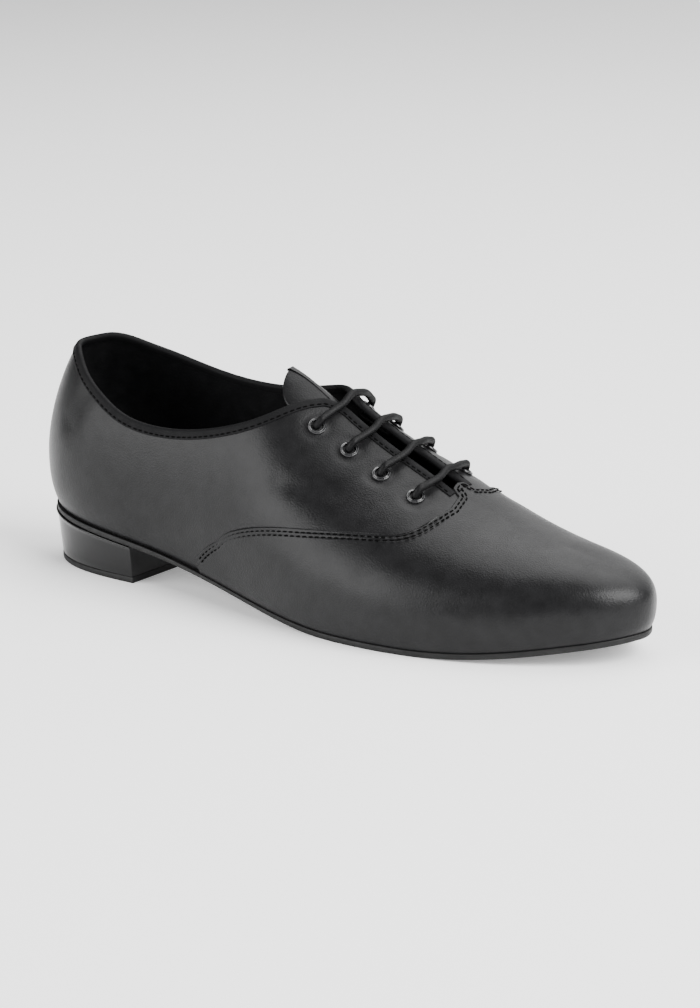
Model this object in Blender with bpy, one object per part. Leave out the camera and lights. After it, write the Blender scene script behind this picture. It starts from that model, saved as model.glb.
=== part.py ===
"""A man's right ballroom dance shoe: lace-up, thin soled, with a low block heel.

The toe points along +X, the outer side of the foot is -Y and the floor is z = 0, in metres.
Upper, sole, insole and tongue all come from one last: ribs that stand on the sole's outline and
run up to a crown line, first fanned round the toe, then straight across, then fanned round the heel.
A point on it has a rib number, negative on the outer side, and a share of the way up that rib.
"""

import math

import bmesh
import bpy
import numpy as np
from mathutils import Matrix, Vector

# Driving dimensions of the last
LENGTH = 0.296
BALL_WIDTH = 0.100
INSTEP_HEIGHT = 0.100
BACK_HEIGHT = 0.099
HEEL_RISE = 0.0234
TOE_SPRING = 0.0096
BELLY = 0.0060
BELLY_HEIGHT = 0.0225

# Upper
WALL = 0.0018
VAMP_STEP = 0.0008
TAPE_WIDTH = 0.0045
TAPE_STEP = 0.0004
EDGE_ROUND = 0.0006
GAP_TOP = 0.0064
GAP_BOTTOM = 0.0072
THROAT_END = 0.704
THROAT_START = 0.400
CORNER_RADIUS = 0.006

# Sole, heel and insole
CLEARANCE = 0.0003
SOLE = 0.0025
SOLE_EDGE = 0.0014
HEEL_LENGTH = 0.0605
HEEL_TAPER = 0.0022
HEEL_RIM = 0.0005
HEEL_RIM_HEIGHT = 0.0013
TIP_HEIGHT = 0.0026
INSOLE = 0.0020

# Tongue, eyelets and lace: the eyelets' ends are places along the length
TONGUE = 0.0016
LACE = 0.0032
LACE_SLACK = 0.0010
EYELET_COUNT = 4
FIRST_EYELET = 0.504
LAST_EYELET = 0.666
EYELET_INSET = 0.0158
EYELET_BORE = LACE + 2 * LACE_SLACK
EYELET_WALL = 0.0004
EYELET_RIM = 0.00135
EYELET_FLANGE = 0.0008
LACE_DEPTH = WALL + LACE / 2 + 2 * CLEARANCE
TONGUE_BED = WALL + LACE + 5 * CLEARANCE

# Fineness: points and sides of the solids, the ribs' spacing, and the widest angle that is shaded smooth
RING_POINTS = 720
RIB_STATIONS = 81
HALVINGS = 40
RIB_STEP = 0.5
FINE_STEP = 0.13
SMOOTH_ANGLE = 40
WALL_LOW_ROWS = 3
WALL_HIGH_ROWS = 7
VAMP_ROWS = (0, 0.15, 0.28, 0.4, 0.5, 0.6, 0.7, 0.8, 0.9, 1)
VAMP_CAP_ROWS = (0.25, 0.5, 0.75)
VAMP_CLOSE = (0.16, 0.36, 0.6, 0.9, 1.3, 1.8)
VAMP_TAIL = 14
EYELET_SIDES = 14
HOLE_SIDES = 12
LACE_SIDES = 8
LACE_SPACING = 0.9 * LACE
SOLE_STATIONS = 50
HEEL_STATIONS = 20
TONGUE_STATIONS = 13

# Sole outline: place along the length, and reach to the outer and inner side as shares of BALL_WIDTH
OUTLINE = (
    # at, outer, inner
    (0.030, 0.165, 0.160),
    (0.085, 0.262, 0.258),
    (0.160, 0.300, 0.292),
    (0.260, 0.302, 0.270),
    (0.370, 0.330, 0.258),
    (0.480, 0.400, 0.305),
    (0.580, 0.462, 0.395),
    (0.670, 0.476, 0.462),
    (0.760, 0.440, 0.462),
    (0.850, 0.352, 0.400),
    (0.925, 0.235, 0.300),
    (0.975, 0.120, 0.190),
)
TOE_SWING = 0.035

# The crown line: height as a share of INSTEP_HEIGHT
CROWN = (
    # at, height
    (0.00, 1.160),
    (0.20, 1.180),
    (0.34, 1.165),
    (0.42, 1.090),
    (0.47, 0.990),
    (0.515, 0.888),
    (0.56, 0.805),
    (0.61, 0.728),
    (0.67, 0.642),
    (0.72, 0.563),
    (0.77, 0.492),
    (0.83, 0.435),
    (0.88, 0.405),
    (1.00, 0.250),
)
# The crown line seen from above: reach to the inner side as a share of BALL_WIDTH
RIDGE = (
    # at, inner
    (0.00, 0.000),
    (0.20, 0.000),
    (0.35, 0.012),
    (0.50, 0.030),
    (0.70, 0.030),
    (0.85, 0.030),
    (1.00, 0.035),
)
# The feather line, where upper and sole meet: shares of HEEL_RISE and of TOE_SPRING
FEATHER = (
    # at, heel, spring
    (0.00, 1.000, 0.00),
    (0.06, 0.930, 0.00),
    (0.13, 0.830, 0.00),
    (0.20, 0.714, 0.00),
    (0.27, 0.564, 0.00),
    (0.34, 0.385, 0.00),
    (0.42, 0.200, 0.00),
    (0.50, 0.068, 0.00),
    (0.57, 0.006, 0.00),
    (0.63, 0.000, 0.00),
    (0.73, 0.000, 0.00),
    (0.79, 0.000, 0.08),
    (0.86, 0.000, 0.30),
    (0.93, 0.000, 0.64),
    (1.00, 0.000, 1.00),
)
# Section shapes: belly and height as shares of BELLY and BELLY_HEIGHT, then the fullness of the
# shoulder and of the dome, and the slope of the roof at the crown line, each for outer and inner side
SECTIONS = (
    # at, belly out, belly in, height, shoulder out, shoulder in, dome out, dome in, roof out, roof in
    (0.00, 0.83, 0.83, 1.00, 0.35, 0.35, 0.55, 0.55, 0.00, 0.00),
    (0.10, 0.67, 0.67, 0.98, 0.42, 0.42, 0.55, 0.55, 0.00, 0.00),
    (0.25, 0.58, 0.83, 0.93, 0.52, 0.55, 0.50, 0.52, 0.05, 0.00),
    (0.38, 0.75, 1.00, 0.89, 0.54, 0.58, 0.45, 0.50, 0.20, 0.00),
    (0.50, 0.75, 1.00, 0.80, 0.54, 0.62, 0.42, 0.50, 0.50, 0.02),
    (0.60, 0.50, 0.67, 0.71, 0.52, 0.62, 0.42, 0.50, 0.52, 0.02),
    (0.70, 0.42, 0.50, 0.62, 0.54, 0.62, 0.45, 0.50, 0.32, 0.02),
    (0.80, 0.37, 0.42, 0.53, 0.58, 0.60, 0.55, 0.55, 0.05, 0.00),
    (0.90, 0.37, 0.37, 0.49, 0.64, 0.64, 0.64, 0.62, 0.00, 0.00),
    (1.00, 0.37, 0.37, 0.44, 0.70, 0.70, 0.70, 0.70, 0.00, 0.00),
)
# Each rib is a low curve up to this share of the way and a high curve above it
BREAK = 0.22
# Handles of the low curve: one out, one up from the feather line, one down from the widest place
BELLY_OUT = 0.75
BELLY_START = 0.25
BELLY_END = 0.40
# The vamp layer's inner sheet starts this far up the rib
LAYER_FOOT = 0.02
# The topline turns from the outer height to the inner one over this share of BALL_WIDTH
TOPLINE_BLEND = 0.1
# Where each rib springs from the crown line, and its turn from the toe in degrees
FAN = (
    # at, turn
    (0.872, 0),
    (0.868, 18),
    (0.855, 36),
    (0.830, 52),
    (0.790, 66),
    (0.735, 78),
    (0.670, 86),
    (0.600, 90),
    (0.530, 90),
    (0.460, 90),
    (0.390, 90),
    (0.320, 90),
    (0.250, 90),
    (0.190, 97),
    (0.150, 118),
    (0.130, 148),
    (0.124, 180),
)
LAST_RIB = len(FAN) - 1
# The top edge: height as a share of BACK_HEIGHT on each side
TOPLINE = (
    # at, outer, inner
    (0.000, 0.990, 0.990),
    (0.030, 0.993, 1.000),
    (0.065, 0.982, 1.012),
    (0.104, 0.906, 0.972),
    (0.144, 0.831, 0.934),
    (0.184, 0.770, 0.902),
    (0.244, 0.733, 0.867),
    (0.322, 0.747, 0.851),
    (0.377, 0.784, 0.860),
    (0.442, 0.858, 0.895),
    (0.473, 0.902, 0.912),
    (0.500, 0.905, 0.915),
    (0.560, 0.900, 0.910),
)
# The vamp's back edge: the rib's place on the crown line, and the share of the way up it
SEAM = (
    # at, up
    (0.7115, 0.860),
    (0.7061, 0.808),
    (0.6997, 0.745),
    (0.6903, 0.668),
    (0.6804, 0.618),
    (0.6594, 0.568),
    (0.6291, 0.527),
    (0.5956, 0.485),
    (0.5579, 0.437),
    (0.5205, 0.391),
    (0.4758, 0.337),
    (0.4266, 0.282),
    (0.3981, 0.245),
    (0.3768, 0.204),
    (0.3596, 0.161),
    (0.3451, 0.115),
    (0.3380, 0.088),
)
# Sole thickness as a share of SOLE
THICKNESS = (
    # at, share
    (0.00, 0.90),
    (0.20, 0.85),
    (0.32, 0.72),
    (0.45, 0.78),
    (0.57, 1.00),
    (0.63, 1.00),
    (1.00, 1.00),
)
# Tongue: half width as a share of BALL_WIDTH, depth under the quarters' skin as a share of TONGUE_BED
TONGUE_ROWS = (
    # at, half, depth
    (0.430, 0.130, 1.66),
    (0.434, 0.180, 1.60),
    (0.443, 0.210, 1.48),
    (0.470, 0.220, 1.23),
    (0.510, 0.220, 1.09),
    (0.570, 0.210, 1.07),
    (0.640, 0.190, 1.07),
    (0.680, 0.180, 1.04),
    (0.703, 0.175, 0.71),
    (0.722, 0.170, 0.45),
    (0.745, 0.160, 0.40),
    (0.770, 0.150, 0.40),
)
# An eyelet's flange: place from the bore to the rim's edge, height as a share of EYELET_FLANGE
EYELET_PROFILE = (
    # at, height
    (1.00, 0.00),
    (0.93, 0.60),
    (0.50, 1.00),
    (0.10, 0.80),
    (0.00, 0.30),
)
# How the lace leaves an eyelet, in lace diameters: height over the skin inside the bore, then height
# over its seat on the flange, and the way over to the other side
LACE_IN_BORE = (
    # height, toward
    (-0.20, -0.04),
    (0.35, 0.00),
)
LACE_ON_FLANGE = (
    # height, toward
    (0.14, 0.72),
    (0.10, 1.30),
)
# The lace over a facing: the way below the edge as a share of EYELET_INSET, then in lace diameters
# the way towards the toe, as a tight lace slips down the slope, and the lift off the leather
LACE_OVER = (
    # below, toe, outer, inner
    (0.52, 0.55, 0.00, 0.15),
    (0.22, 0.95, 0.00, 0.20),
    (0.00, 1.10, 0.02, 0.15),
)
BAR_TOE = 1.10
BAR_LIFT = 0.05
# The hidden run down the outer facing: way aside in lace diameters, and its ends in eyelet rows
RUN_ASIDE = 1.7
LACE_START = 0.25


def clear_scene():
    for thing in list(bpy.data.objects):
        bpy.data.objects.remove(thing, do_unlink=True)


def spline(places, values):
    """A natural cubic spline through the values, as a function of the place."""
    places = np.asarray(places, float)
    values = np.asarray(values, float)
    count = len(places)
    step = np.diff(places)
    system = np.eye(count)
    right = np.zeros_like(values)
    for i in range(1, count - 1):
        system[i, i - 1 : i + 2] = step[i - 1], 2 * (step[i - 1] + step[i]), step[i]
        right[i] = 6 * ((values[i + 1] - values[i]) / step[i] - (values[i] - values[i - 1]) / step[i - 1])
    bend = np.linalg.solve(system, right)

    def at(place):
        place = np.asarray(place, float)
        i = np.clip(np.searchsorted(places, place, side="right") - 1, 0, count - 2)
        after = place - places[i]
        before = places[i + 1] - place
        span = step[i]
        if values.ndim > 1:
            after, before, span = after[..., None], before[..., None], span[..., None]
        curve = (bend[i] * before**3 + bend[i + 1] * after**3) / (6 * span)
        line = (values[i] / span - bend[i] * span / 6) * before
        return curve + line + (values[i + 1] / span - bend[i + 1] * span / 6) * after

    return at


def table_spline(table):
    """A spline over a table whose first column is the place."""
    rows = np.array(table, float)
    return spline(rows[:, 0], rows[:, 1] if rows.shape[1] == 2 else rows[:, 1:])


def outline_ring(count):
    """The sole's outline as a closed ring of points, from the heel along the outer side."""
    rows = np.array(OUTLINE)
    outer = np.stack([rows[:, 0] * LENGTH, -rows[:, 1] * BALL_WIDTH], 1)
    inner = np.stack([rows[:, 0] * LENGTH, rows[:, 2] * BALL_WIDTH], 1)[::-1]
    ring = np.concatenate([[[0, 0]], outer, [[LENGTH, TOE_SWING * BALL_WIDTH]], inner])
    lap = 4
    loop = np.concatenate([ring[-lap:], ring, ring[: lap + 1]])
    chords = np.linalg.norm(np.diff(loop, axis=0), axis=1)
    knots = np.concatenate([[0], np.cumsum(np.sqrt(chords))])
    return spline(knots, loop)(np.linspace(knots[lap], knots[lap + len(ring)], count, endpoint=False))


RING = outline_ring(RING_POINTS)
crown_at = table_spline(CROWN)
ridge_at = table_spline(RIDGE)
feather_at = table_spline(FEATHER)
section_at = table_spline(SECTIONS)
thickness_at = table_spline(THICKNESS)
topline_at = table_spline(TOPLINE)
fan_at = spline(np.arange(len(FAN)), np.array(FAN, float))


def feather_height(x):
    """Height of the feather line above the floor."""
    rise, spring = np.moveaxis(np.maximum(feather_at(np.clip(x / LENGTH, 0, 1)), 0), -1, 0)
    return SOLE + CLEARANCE + rise * HEEL_RISE + spring * TOE_SPRING


def ridge_y(x):
    return BALL_WIDTH * ridge_at(np.clip(x / LENGTH, 0, 1))


def reach(x, y, along, across):
    """Distance from (x, y) to the outline in the direction (along, across)."""
    edge = np.roll(RING, -1, axis=0) - RING
    x, y, along, across = (np.asarray(v, float)[..., None] for v in (x, y, along, across))
    cross = across * edge[:, 0] - along * edge[:, 1]
    cross = np.where(np.abs(cross) < 1e-15, 1e-15, cross)
    to_x = RING[:, 0] - x
    to_y = RING[:, 1] - y
    distance = (to_y * edge[:, 0] - to_x * edge[:, 1]) / cross
    share = (along * to_y - across * to_x) / cross
    hit = (share >= -1e-9) & (share <= 1 + 1e-9) & (distance > 0)
    return np.where(hit, distance, np.inf).min(-1)


def last_point(rib, up):
    """The point of the last on this rib, at this share of the way up it."""
    rib = np.asarray(rib, float)
    up = np.asarray(up, float)
    side = np.where(rib < 0, -1.0, 1.0)
    spring = fan_at(np.minimum(np.abs(rib), LAST_RIB))
    x = spring[..., 0] * LENGTH
    y = ridge_y(x)
    turn = np.radians(np.clip(spring[..., 1], 0, 180))
    along = np.cos(turn)
    across = side * np.sin(turn)
    foot = reach(x, y, along, across)
    foot_x = x + foot * along
    low = feather_height(foot_x)
    inner = 0.5 * (1 + side * np.clip(2 * np.abs(across), 0, 1))

    def mixed(row, first):
        return row[..., first] * (1 - inner) + row[..., first + 1] * inner

    shape = section_at(np.clip(foot_x / LENGTH, 0, 1))
    belly = BELLY * mixed(shape, 0)
    belly_height = BELLY_HEIGHT * shape[..., 2]
    wide = foot + belly
    waist = low + belly_height
    top = crown_at(x / LENGTH) * INSTEP_HEIGHT
    nudge = 1e-4
    climb = crown_at(x / LENGTH + nudge) - crown_at(x / LENGTH - nudge)
    climb = climb * INSTEP_HEIGHT / (2 * nudge * LENGTH) * along
    roof = mixed(section_at(x / LENGTH), 7) * np.abs(across)
    dome = mixed(shape, 5) * wide

    def bezier(share, points):
        weights = ((1 - share) ** 3, 3 * (1 - share) ** 2 * share, 3 * (1 - share) * share**2, share**3)
        return sum(weight * point for weight, point in zip(weights, points))

    lower = np.clip(up / BREAK, 0, 1)
    upper = np.clip((up - BREAK) / (1 - BREAK), 0, 1)
    low_out = bezier(lower, (foot, foot + BELLY_OUT * belly, wide, wide))
    start = low + BELLY_START * belly_height
    low_up = bezier(lower, (low, start, waist - BELLY_END * belly_height, waist))
    shoulder = waist + mixed(shape, 3) * (top - waist)
    high_out = bezier(upper, (wide, wide, dome, 0.0))
    high_up = bezier(upper, (waist, shoulder, top + (climb - roof) * dome, top))
    out = np.where(up < BREAK, low_out, high_out)
    height = np.where(up < BREAK, low_up, high_up)
    return np.stack(np.broadcast_arrays(x + out * along, y + out * across, height), -1)


def last_normal(rib, up):
    """The outward normal of the last."""
    nudge = 1e-3
    rib = np.clip(rib, 2 * nudge - LAST_RIB, LAST_RIB - 2 * nudge)
    up = np.clip(up, nudge, 1 - 5 * nudge)
    over = last_point(rib + nudge, up) - last_point(rib - nudge, up)
    rise = last_point(rib, up + nudge) - last_point(rib, up - nudge)
    normal = np.cross(over, rise)
    return normal / np.linalg.norm(normal, axis=-1, keepdims=True)


def skin(rib, up, offset):
    """A point this far outside the last."""
    rib, up, offset = np.broadcast_arrays(np.asarray(rib, float), up, offset)
    return last_point(rib, up) + last_normal(rib, up) * offset[..., None]


def rib_at(share):
    """Rib number of the rib that springs from this share of the length."""
    table = np.array(FAN, float)
    return np.interp(-np.asarray(share, float), -table[:, 0], np.arange(len(FAN)))


def towards_toe(rib, distance):
    """Rib number of the rib that springs this far nearer to the toe, on the same side."""
    return math.copysign(float(rib_at(fan_at(abs(rib))[0] + distance / LENGTH)), rib)


def half_gap(x):
    share = (x / LENGTH - FIRST_EYELET) / (THROAT_END - FIRST_EYELET)
    return 0.5 * (GAP_TOP + (GAP_BOTTOM - GAP_TOP) * np.clip(share, 0, 1))


def below_edge(rib, up):
    """Positive below the top edge and outside the throat's gap, with the facing's corner rounded."""
    point = last_point(rib, up)
    x, y, z = np.moveaxis(point, -1, 0)
    inner = 0.5 * (1 + np.clip((y - ridge_y(x)) / (TOPLINE_BLEND * BALL_WIDTH), -1, 1))
    height = topline_at(np.clip(x / LENGTH, 0, TOPLINE[-1][0]))
    under = BACK_HEIGHT * (height[..., 0] * (1 - inner) + height[..., 1] * inner) - z
    aside = np.where(x > THROAT_START * LENGTH, np.abs(y - ridge_y(x)) - half_gap(x), CORNER_RADIUS)
    corner = np.hypot(np.maximum(CORNER_RADIUS - under, 0), np.maximum(CORNER_RADIUS - aside, 0))
    near_corner = (under < CORNER_RADIUS) & (aside < CORNER_RADIUS)
    return np.where(near_corner, CORNER_RADIUS - corner, np.minimum(under, aside))


def edge_up(rib):
    """Share of the way up each rib at which the upper ends."""
    rib = np.asarray(rib, float)
    low = np.full(rib.shape, BREAK)
    high = np.ones(rib.shape)
    for _ in range(HALVINGS):
        middle = (low + high) / 2
        inside = below_edge(rib, middle) > 0
        low = np.where(inside, middle, low)
        high = np.where(inside, high, middle)
    return np.where(np.abs(rib) <= rib_at(THROAT_END), 1.0, low)


def down_from(rib, up, distance):
    """Share of the way up the rib at this distance down along it."""
    steps = np.linspace(0, 1, RIB_STATIONS)
    shares = up[..., None] * (1 - steps)
    points = last_point(rib[..., None], shares)
    lengths = np.linalg.norm(np.diff(points, axis=-2), axis=-1)
    lengths = np.concatenate([np.zeros(lengths.shape[:-1] + (1,)), np.cumsum(lengths, -1)], -1)
    return np.array([np.interp(distance, run, share) for run, share in zip(lengths, shares)])


def material(name, colour, roughness, metallic=0.0):
    made = bpy.data.materials.new(name)
    made.use_nodes = True
    shader = made.node_tree.nodes["Principled BSDF"]
    shader.inputs["Base Color"].default_value = (*colour, 1.0)
    shader.inputs["Roughness"].default_value = roughness
    shader.inputs["Metallic"].default_value = metallic
    return made


def add_mesh(name, points, faces, finish):
    """An object from points and faces, turned outwards and shaded smooth up to SMOOTH_ANGLE."""
    mesh = bpy.data.meshes.new(name)
    mesh.from_pydata([tuple(point) for point in points], [], faces)
    work = bmesh.new()
    work.from_mesh(mesh)
    bmesh.ops.recalc_face_normals(work, faces=work.faces)
    work.to_mesh(mesh)
    work.free()
    mesh.shade_smooth()
    mesh.set_sharp_from_angle(angle=math.radians(SMOOTH_ANGLE))
    made = bpy.data.objects.new(name, mesh)
    bpy.context.scene.collection.objects.link(made)
    if finish is not None:
        mesh.materials.append(finish)
    return made


def add_boolean(thing, other, operation):
    """Joins or cuts thing with other, which is then only a guide."""
    other.hide_render = True
    other.display_type = "WIRE"
    change = thing.modifiers.new(operation.lower(), "BOOLEAN")
    change.operation = operation
    change.solver = "EXACT"
    change.object = other


class Grid:
    """Points in rows, with faces added between the rows."""

    def __init__(self):
        self.points = []
        self.faces = []

    def row(self, points):
        first = len(self.points)
        self.points.extend(points)
        return list(range(first, first + len(points)))

    def strip(self, one, other, closed=False):
        """Faces between two rows of point numbers, leaving out corners that are the same point."""
        count = len(one)
        for i in range(count if closed else count - 1):
            j = (i + 1) % count
            corners = []
            for corner in (one[i], one[j], other[j], other[i]):
                if corner not in corners:
                    corners.append(corner)
            if len(corners) > 2:
                self.faces.append(corners)

    def build(self, name, finish=None):
        """The object, without the points that no face uses."""
        used = sorted({corner for face in self.faces for corner in face})
        number = {old: new for new, old in enumerate(used)}
        faces = [[number[corner] for corner in face] for face in self.faces]
        return add_mesh(name, [self.points[old] for old in used], faces, finish)


def mirror_crown(grid_rows, ribs):
    """Gives the crown points of each outer rib and its inner twin one number."""
    top = grid_rows[-1]
    for i, rib in enumerate(ribs):
        twin = int(np.argmin(np.abs(ribs + rib)))
        if rib < 0 and abs(rib) <= rib_at(THROAT_END) + 1e-6:
            top[i] = top[twin]


def crown_points(ribs, offset):
    """Crown points at an offset, along the mean of both sides' normals."""
    normal = last_normal(ribs, np.ones(len(ribs))) + last_normal(-ribs, np.ones(len(ribs)))
    normal /= np.linalg.norm(normal, axis=-1, keepdims=True)
    return last_point(ribs, np.ones(len(ribs))) + normal * offset


def upper_ribs():
    """Rib numbers of the upper's sections, closer by the throat's end, the facings' corner and the heel."""
    throat = rib_at(THROAT_END)
    corner = rib_at(FIRST_EYELET)
    heel_turn = LAST_RIB - 3
    half = np.concatenate(
        [
            np.arange(0, throat - 0.6 * RIB_STEP, RIB_STEP),
            [throat - RIB_STEP / 2, throat, throat + RIB_STEP / 10],
            np.linspace(throat + RIB_STEP, corner - RIB_STEP / 2, 5),
            np.arange(corner - RIB_STEP / 10, corner + 2 * RIB_STEP, FINE_STEP),
            np.arange(math.ceil((corner + 2.2 * RIB_STEP) / RIB_STEP) * RIB_STEP, heel_turn, RIB_STEP),
            np.linspace(heel_turn, LAST_RIB, 9),
        ]
    )
    return np.concatenate([-half[:0:-1], half[:-1]])


def leather_wall(name, finish):
    """The quarters and the ground under the vamp: one wall, open below, at the collar and at the throat."""
    ribs = upper_ribs()
    open_rib = np.abs(ribs) > rib_at(THROAT_END) + 1e-6
    top = edge_up(ribs)
    lower = [np.full(len(ribs), BREAK * share) for share in np.linspace(0, 1, WALL_LOW_ROWS + 1)]
    tape_foot = down_from(ribs, top, TAPE_WIDTH + TAPE_STEP)
    tape = down_from(ribs, top, TAPE_WIDTH)
    lip = down_from(ribs, top, EDGE_ROUND)
    shares = np.linspace(0, 1, WALL_HIGH_ROWS + 1)[1:]
    between = [BREAK + (tape_foot - BREAK) * share for share in shares]
    step = np.where(open_rib, TAPE_STEP, 0.0)

    grid = Grid()
    outer = [grid.row(skin(ribs, up, 0.0)) for up in lower + between]
    outer.append(grid.row(skin(ribs, tape, step)))
    outer.append(grid.row(skin(ribs, lip, step)))
    rim = skin(ribs, top, np.where(open_rib, -EDGE_ROUND / 3, 0.0))
    crown = crown_points(ribs, 0.0)
    outer.append(grid.row(np.where(open_rib[:, None], rim, crown)))
    mirror_crown(outer, ribs)

    foot = last_point(ribs, np.zeros(len(ribs)))
    level = last_normal(ribs, np.zeros(len(ribs))) * [1, 1, 0]
    level /= np.linalg.norm(level, axis=-1, keepdims=True)
    inner = [grid.row(foot - level * WALL)]
    inner += [grid.row(skin(ribs, up, -WALL)) for up in lower[1:] + between[1::2]]
    inner.append(grid.row(skin(ribs, lip, -WALL)))
    rim = skin(ribs, top, EDGE_ROUND / 2 - WALL)
    crown = crown_points(ribs, -WALL)
    inner.append(grid.row(np.where(open_rib[:, None], rim, crown)))
    mirror_crown(inner, ribs)

    for rows in (outer, inner):
        for one, other in zip(rows, rows[1:]):
            grid.strip(one, other, closed=True)
    grid.strip(outer[0], inner[0], closed=True)
    edge = [i for i in range(len(ribs)) if np.abs(ribs[i]) >= rib_at(THROAT_END) - 1e-6]
    middle = [i for i in edge if ribs[i] > 0] + [i for i in edge if ribs[i] < 0]
    grid.strip([outer[-1][i] for i in middle], [inner[-1][i] for i in middle], closed=True)
    return grid.build(name, finish)


def vamp_layer(name):
    """The vamp's own thickness over the wall, from the toe back to the seam, its back sunk in the wall."""
    seam = np.array(SEAM)
    front = rib_at(seam[0, 0])
    back = rib_at(seam[-1, 0])
    seam_up = spline(rib_at(seam[:, 0]), seam[:, 1])
    full = np.concatenate([np.arange(0, front - 0.6 * RIB_STEP, RIB_STEP), [front - 0.4 * RIB_STEP, front]])
    close = front + RIB_STEP * np.array(VAMP_CLOSE)
    half = np.concatenate([full, close, np.linspace(close[-1] + RIB_STEP, back, VAMP_TAIL)])
    ribs = np.concatenate([-half[:0:-1], half])
    limit = np.where(np.abs(ribs) <= front, seam[0, 1], seam_up(np.clip(np.abs(ribs), front, back)))
    centre = np.flatnonzero(np.abs(ribs) <= front + 1e-9)

    grid = Grid()
    sheets = []
    for offset in (VAMP_STEP, -WALL / 2):
        rows = []
        for share in VAMP_ROWS:
            foot = LAYER_FOOT * (1 - share) if offset < 0 else 0
            points = skin(ribs, foot + (limit - foot) * share, offset)
            if share == 0 and offset > 0:
                points[:, 2] = feather_height(points[:, 0])
            rows.append(grid.row(points))
        cap = [[rows[-1][i] for i in centre]]
        inner_ribs = ribs[centre]
        for share in VAMP_CAP_ROWS:
            cap.append(grid.row(skin(inner_ribs, limit[centre] + (1 - limit[centre]) * share, offset)))
        crown = grid.row(crown_points(inner_ribs, offset))
        count = len(crown)
        for i in range(count // 2):
            crown[i] = crown[count - 1 - i]
        cap.append(crown)
        for one, other in list(zip(rows, rows[1:])) + list(zip(cap, cap[1:])):
            grid.strip(one, other)
        left = [row[0] for row in cap]
        right = [row[-1] for row in cap]
        ends = [row[-1] for row in rows] + rows[-1][centre[-1] :][::-1][1:]
        starts = [row[0] for row in rows] + rows[-1][: centre[0] + 1][1:]
        border = rows[0] + ends[1:] + right[1:] + left[::-1][1:] + starts[::-1][1:-1]
        sheets.append(border)
    grid.strip(sheets[0], sheets[1], closed=True)
    return grid.build(name)


def eyelet_places():
    """Rib, share up and side of each eyelet, evenly spaced along the crown line from the top down."""
    x = np.linspace(FIRST_EYELET, LAST_EYELET, RIB_STATIONS) * LENGTH
    run = np.hypot(np.diff(x), np.diff(crown_at(x / LENGTH) * INSTEP_HEIGHT))
    run = np.concatenate([[0], np.cumsum(run)])
    places = []
    for station in np.interp(np.linspace(0, run[-1], EYELET_COUNT), run, x):
        rib = float(rib_at(station / LENGTH))
        for side in (-1, 1):
            ribs = np.array([side * rib])
            up = down_from(ribs, edge_up(ribs), EYELET_INSET)
            places.append((side, ribs[0], float(up[0])))
    return places


def eyelet_frame(rib, up):
    """Centre on the upper's skin, and the outward normal there."""
    centre = Vector(skin(rib, up, 0.0))
    normal = Vector(last_normal(np.array(rib), np.array(up)))
    return centre, normal


def eyelet_mesh(finish):
    """One eyelet, turned from a closed profile of (radius, height): a rounded flange and a barrel."""
    bore = EYELET_BORE / 2
    barrel = bore + EYELET_WALL
    seat = CLEARANCE
    tail = -WALL - CLEARANCE
    profile = [(bore, tail), (barrel, tail), (barrel, seat)]
    profile += [(bore + at * EYELET_RIM, seat + height * EYELET_FLANGE) for at, height in EYELET_PROFILE]
    grid = Grid()
    rows = []
    for i in range(EYELET_SIDES):
        angle = 2 * math.pi * i / EYELET_SIDES
        rows.append(grid.row([(r * math.cos(angle), r * math.sin(angle), h) for r, h in profile]))
    for one, other in zip(rows, rows[1:] + rows[:1]):
        grid.strip(one, other, closed=True)
    made = grid.build("eyelet", finish)
    mesh = made.data
    bpy.data.objects.remove(made)
    return mesh


def eyelet_cutters(places):
    """One cutter that holds a round hole for each eyelet's barrel."""
    radius = EYELET_BORE / 2 + EYELET_WALL + CLEARANCE
    depth = 6 * WALL
    work = bmesh.new()
    for _, rib, up in places:
        centre, normal = eyelet_frame(rib, up)
        place = Matrix.Translation(centre) @ normal.to_track_quat("Z", "Y").to_matrix().to_4x4()
        bmesh.ops.create_cone(
            work,
            cap_ends=True,
            segments=HOLE_SIDES,
            radius1=radius,
            radius2=radius,
            depth=depth,
            matrix=place,
        )
    mesh = bpy.data.meshes.new("eyelet_holes")
    work.to_mesh(mesh)
    work.free()
    made = bpy.data.objects.new("eyelet_holes", mesh)
    bpy.context.scene.collection.objects.link(made)
    return made


def build_upper(finish, places):
    upper = leather_wall("upper", finish)
    add_boolean(upper, vamp_layer("vamp_layer"), "UNION")
    add_boolean(upper, eyelet_cutters(places), "DIFFERENCE")
    return upper


def build_eyelets(finish, places):
    mesh = eyelet_mesh(finish)
    for i, (side, rib, up) in enumerate(places):
        name = f"eyelet_{'outer' if side < 0 else 'inner'}_{i // 2 + 1}"
        made = bpy.data.objects.new(name, mesh)
        centre, normal = eyelet_frame(rib, up)
        made.location = centre
        made.rotation_mode = "QUATERNION"
        made.rotation_quaternion = normal.to_track_quat("Z", "Y")
        bpy.context.scene.collection.objects.link(made)


def grown_outline(margin):
    """The outline moved outwards by the margin: points of the outer and of the inner edge, heel to toe."""
    edge = np.roll(RING, -1, axis=0) - np.roll(RING, 1, axis=0)
    normal = np.stack([edge[:, 1], -edge[:, 0]], 1)
    normal /= np.linalg.norm(normal, axis=1, keepdims=True)
    ring = RING + normal * margin
    heel = int(ring[:, 0].argmin())
    ring = np.roll(ring, -heel, axis=0)
    toe = int(ring[:, 0].argmax())
    outer = ring[: toe + 1]
    inner = np.concatenate([ring[toe:], ring[:1]])[::-1]
    return outer, inner


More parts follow.
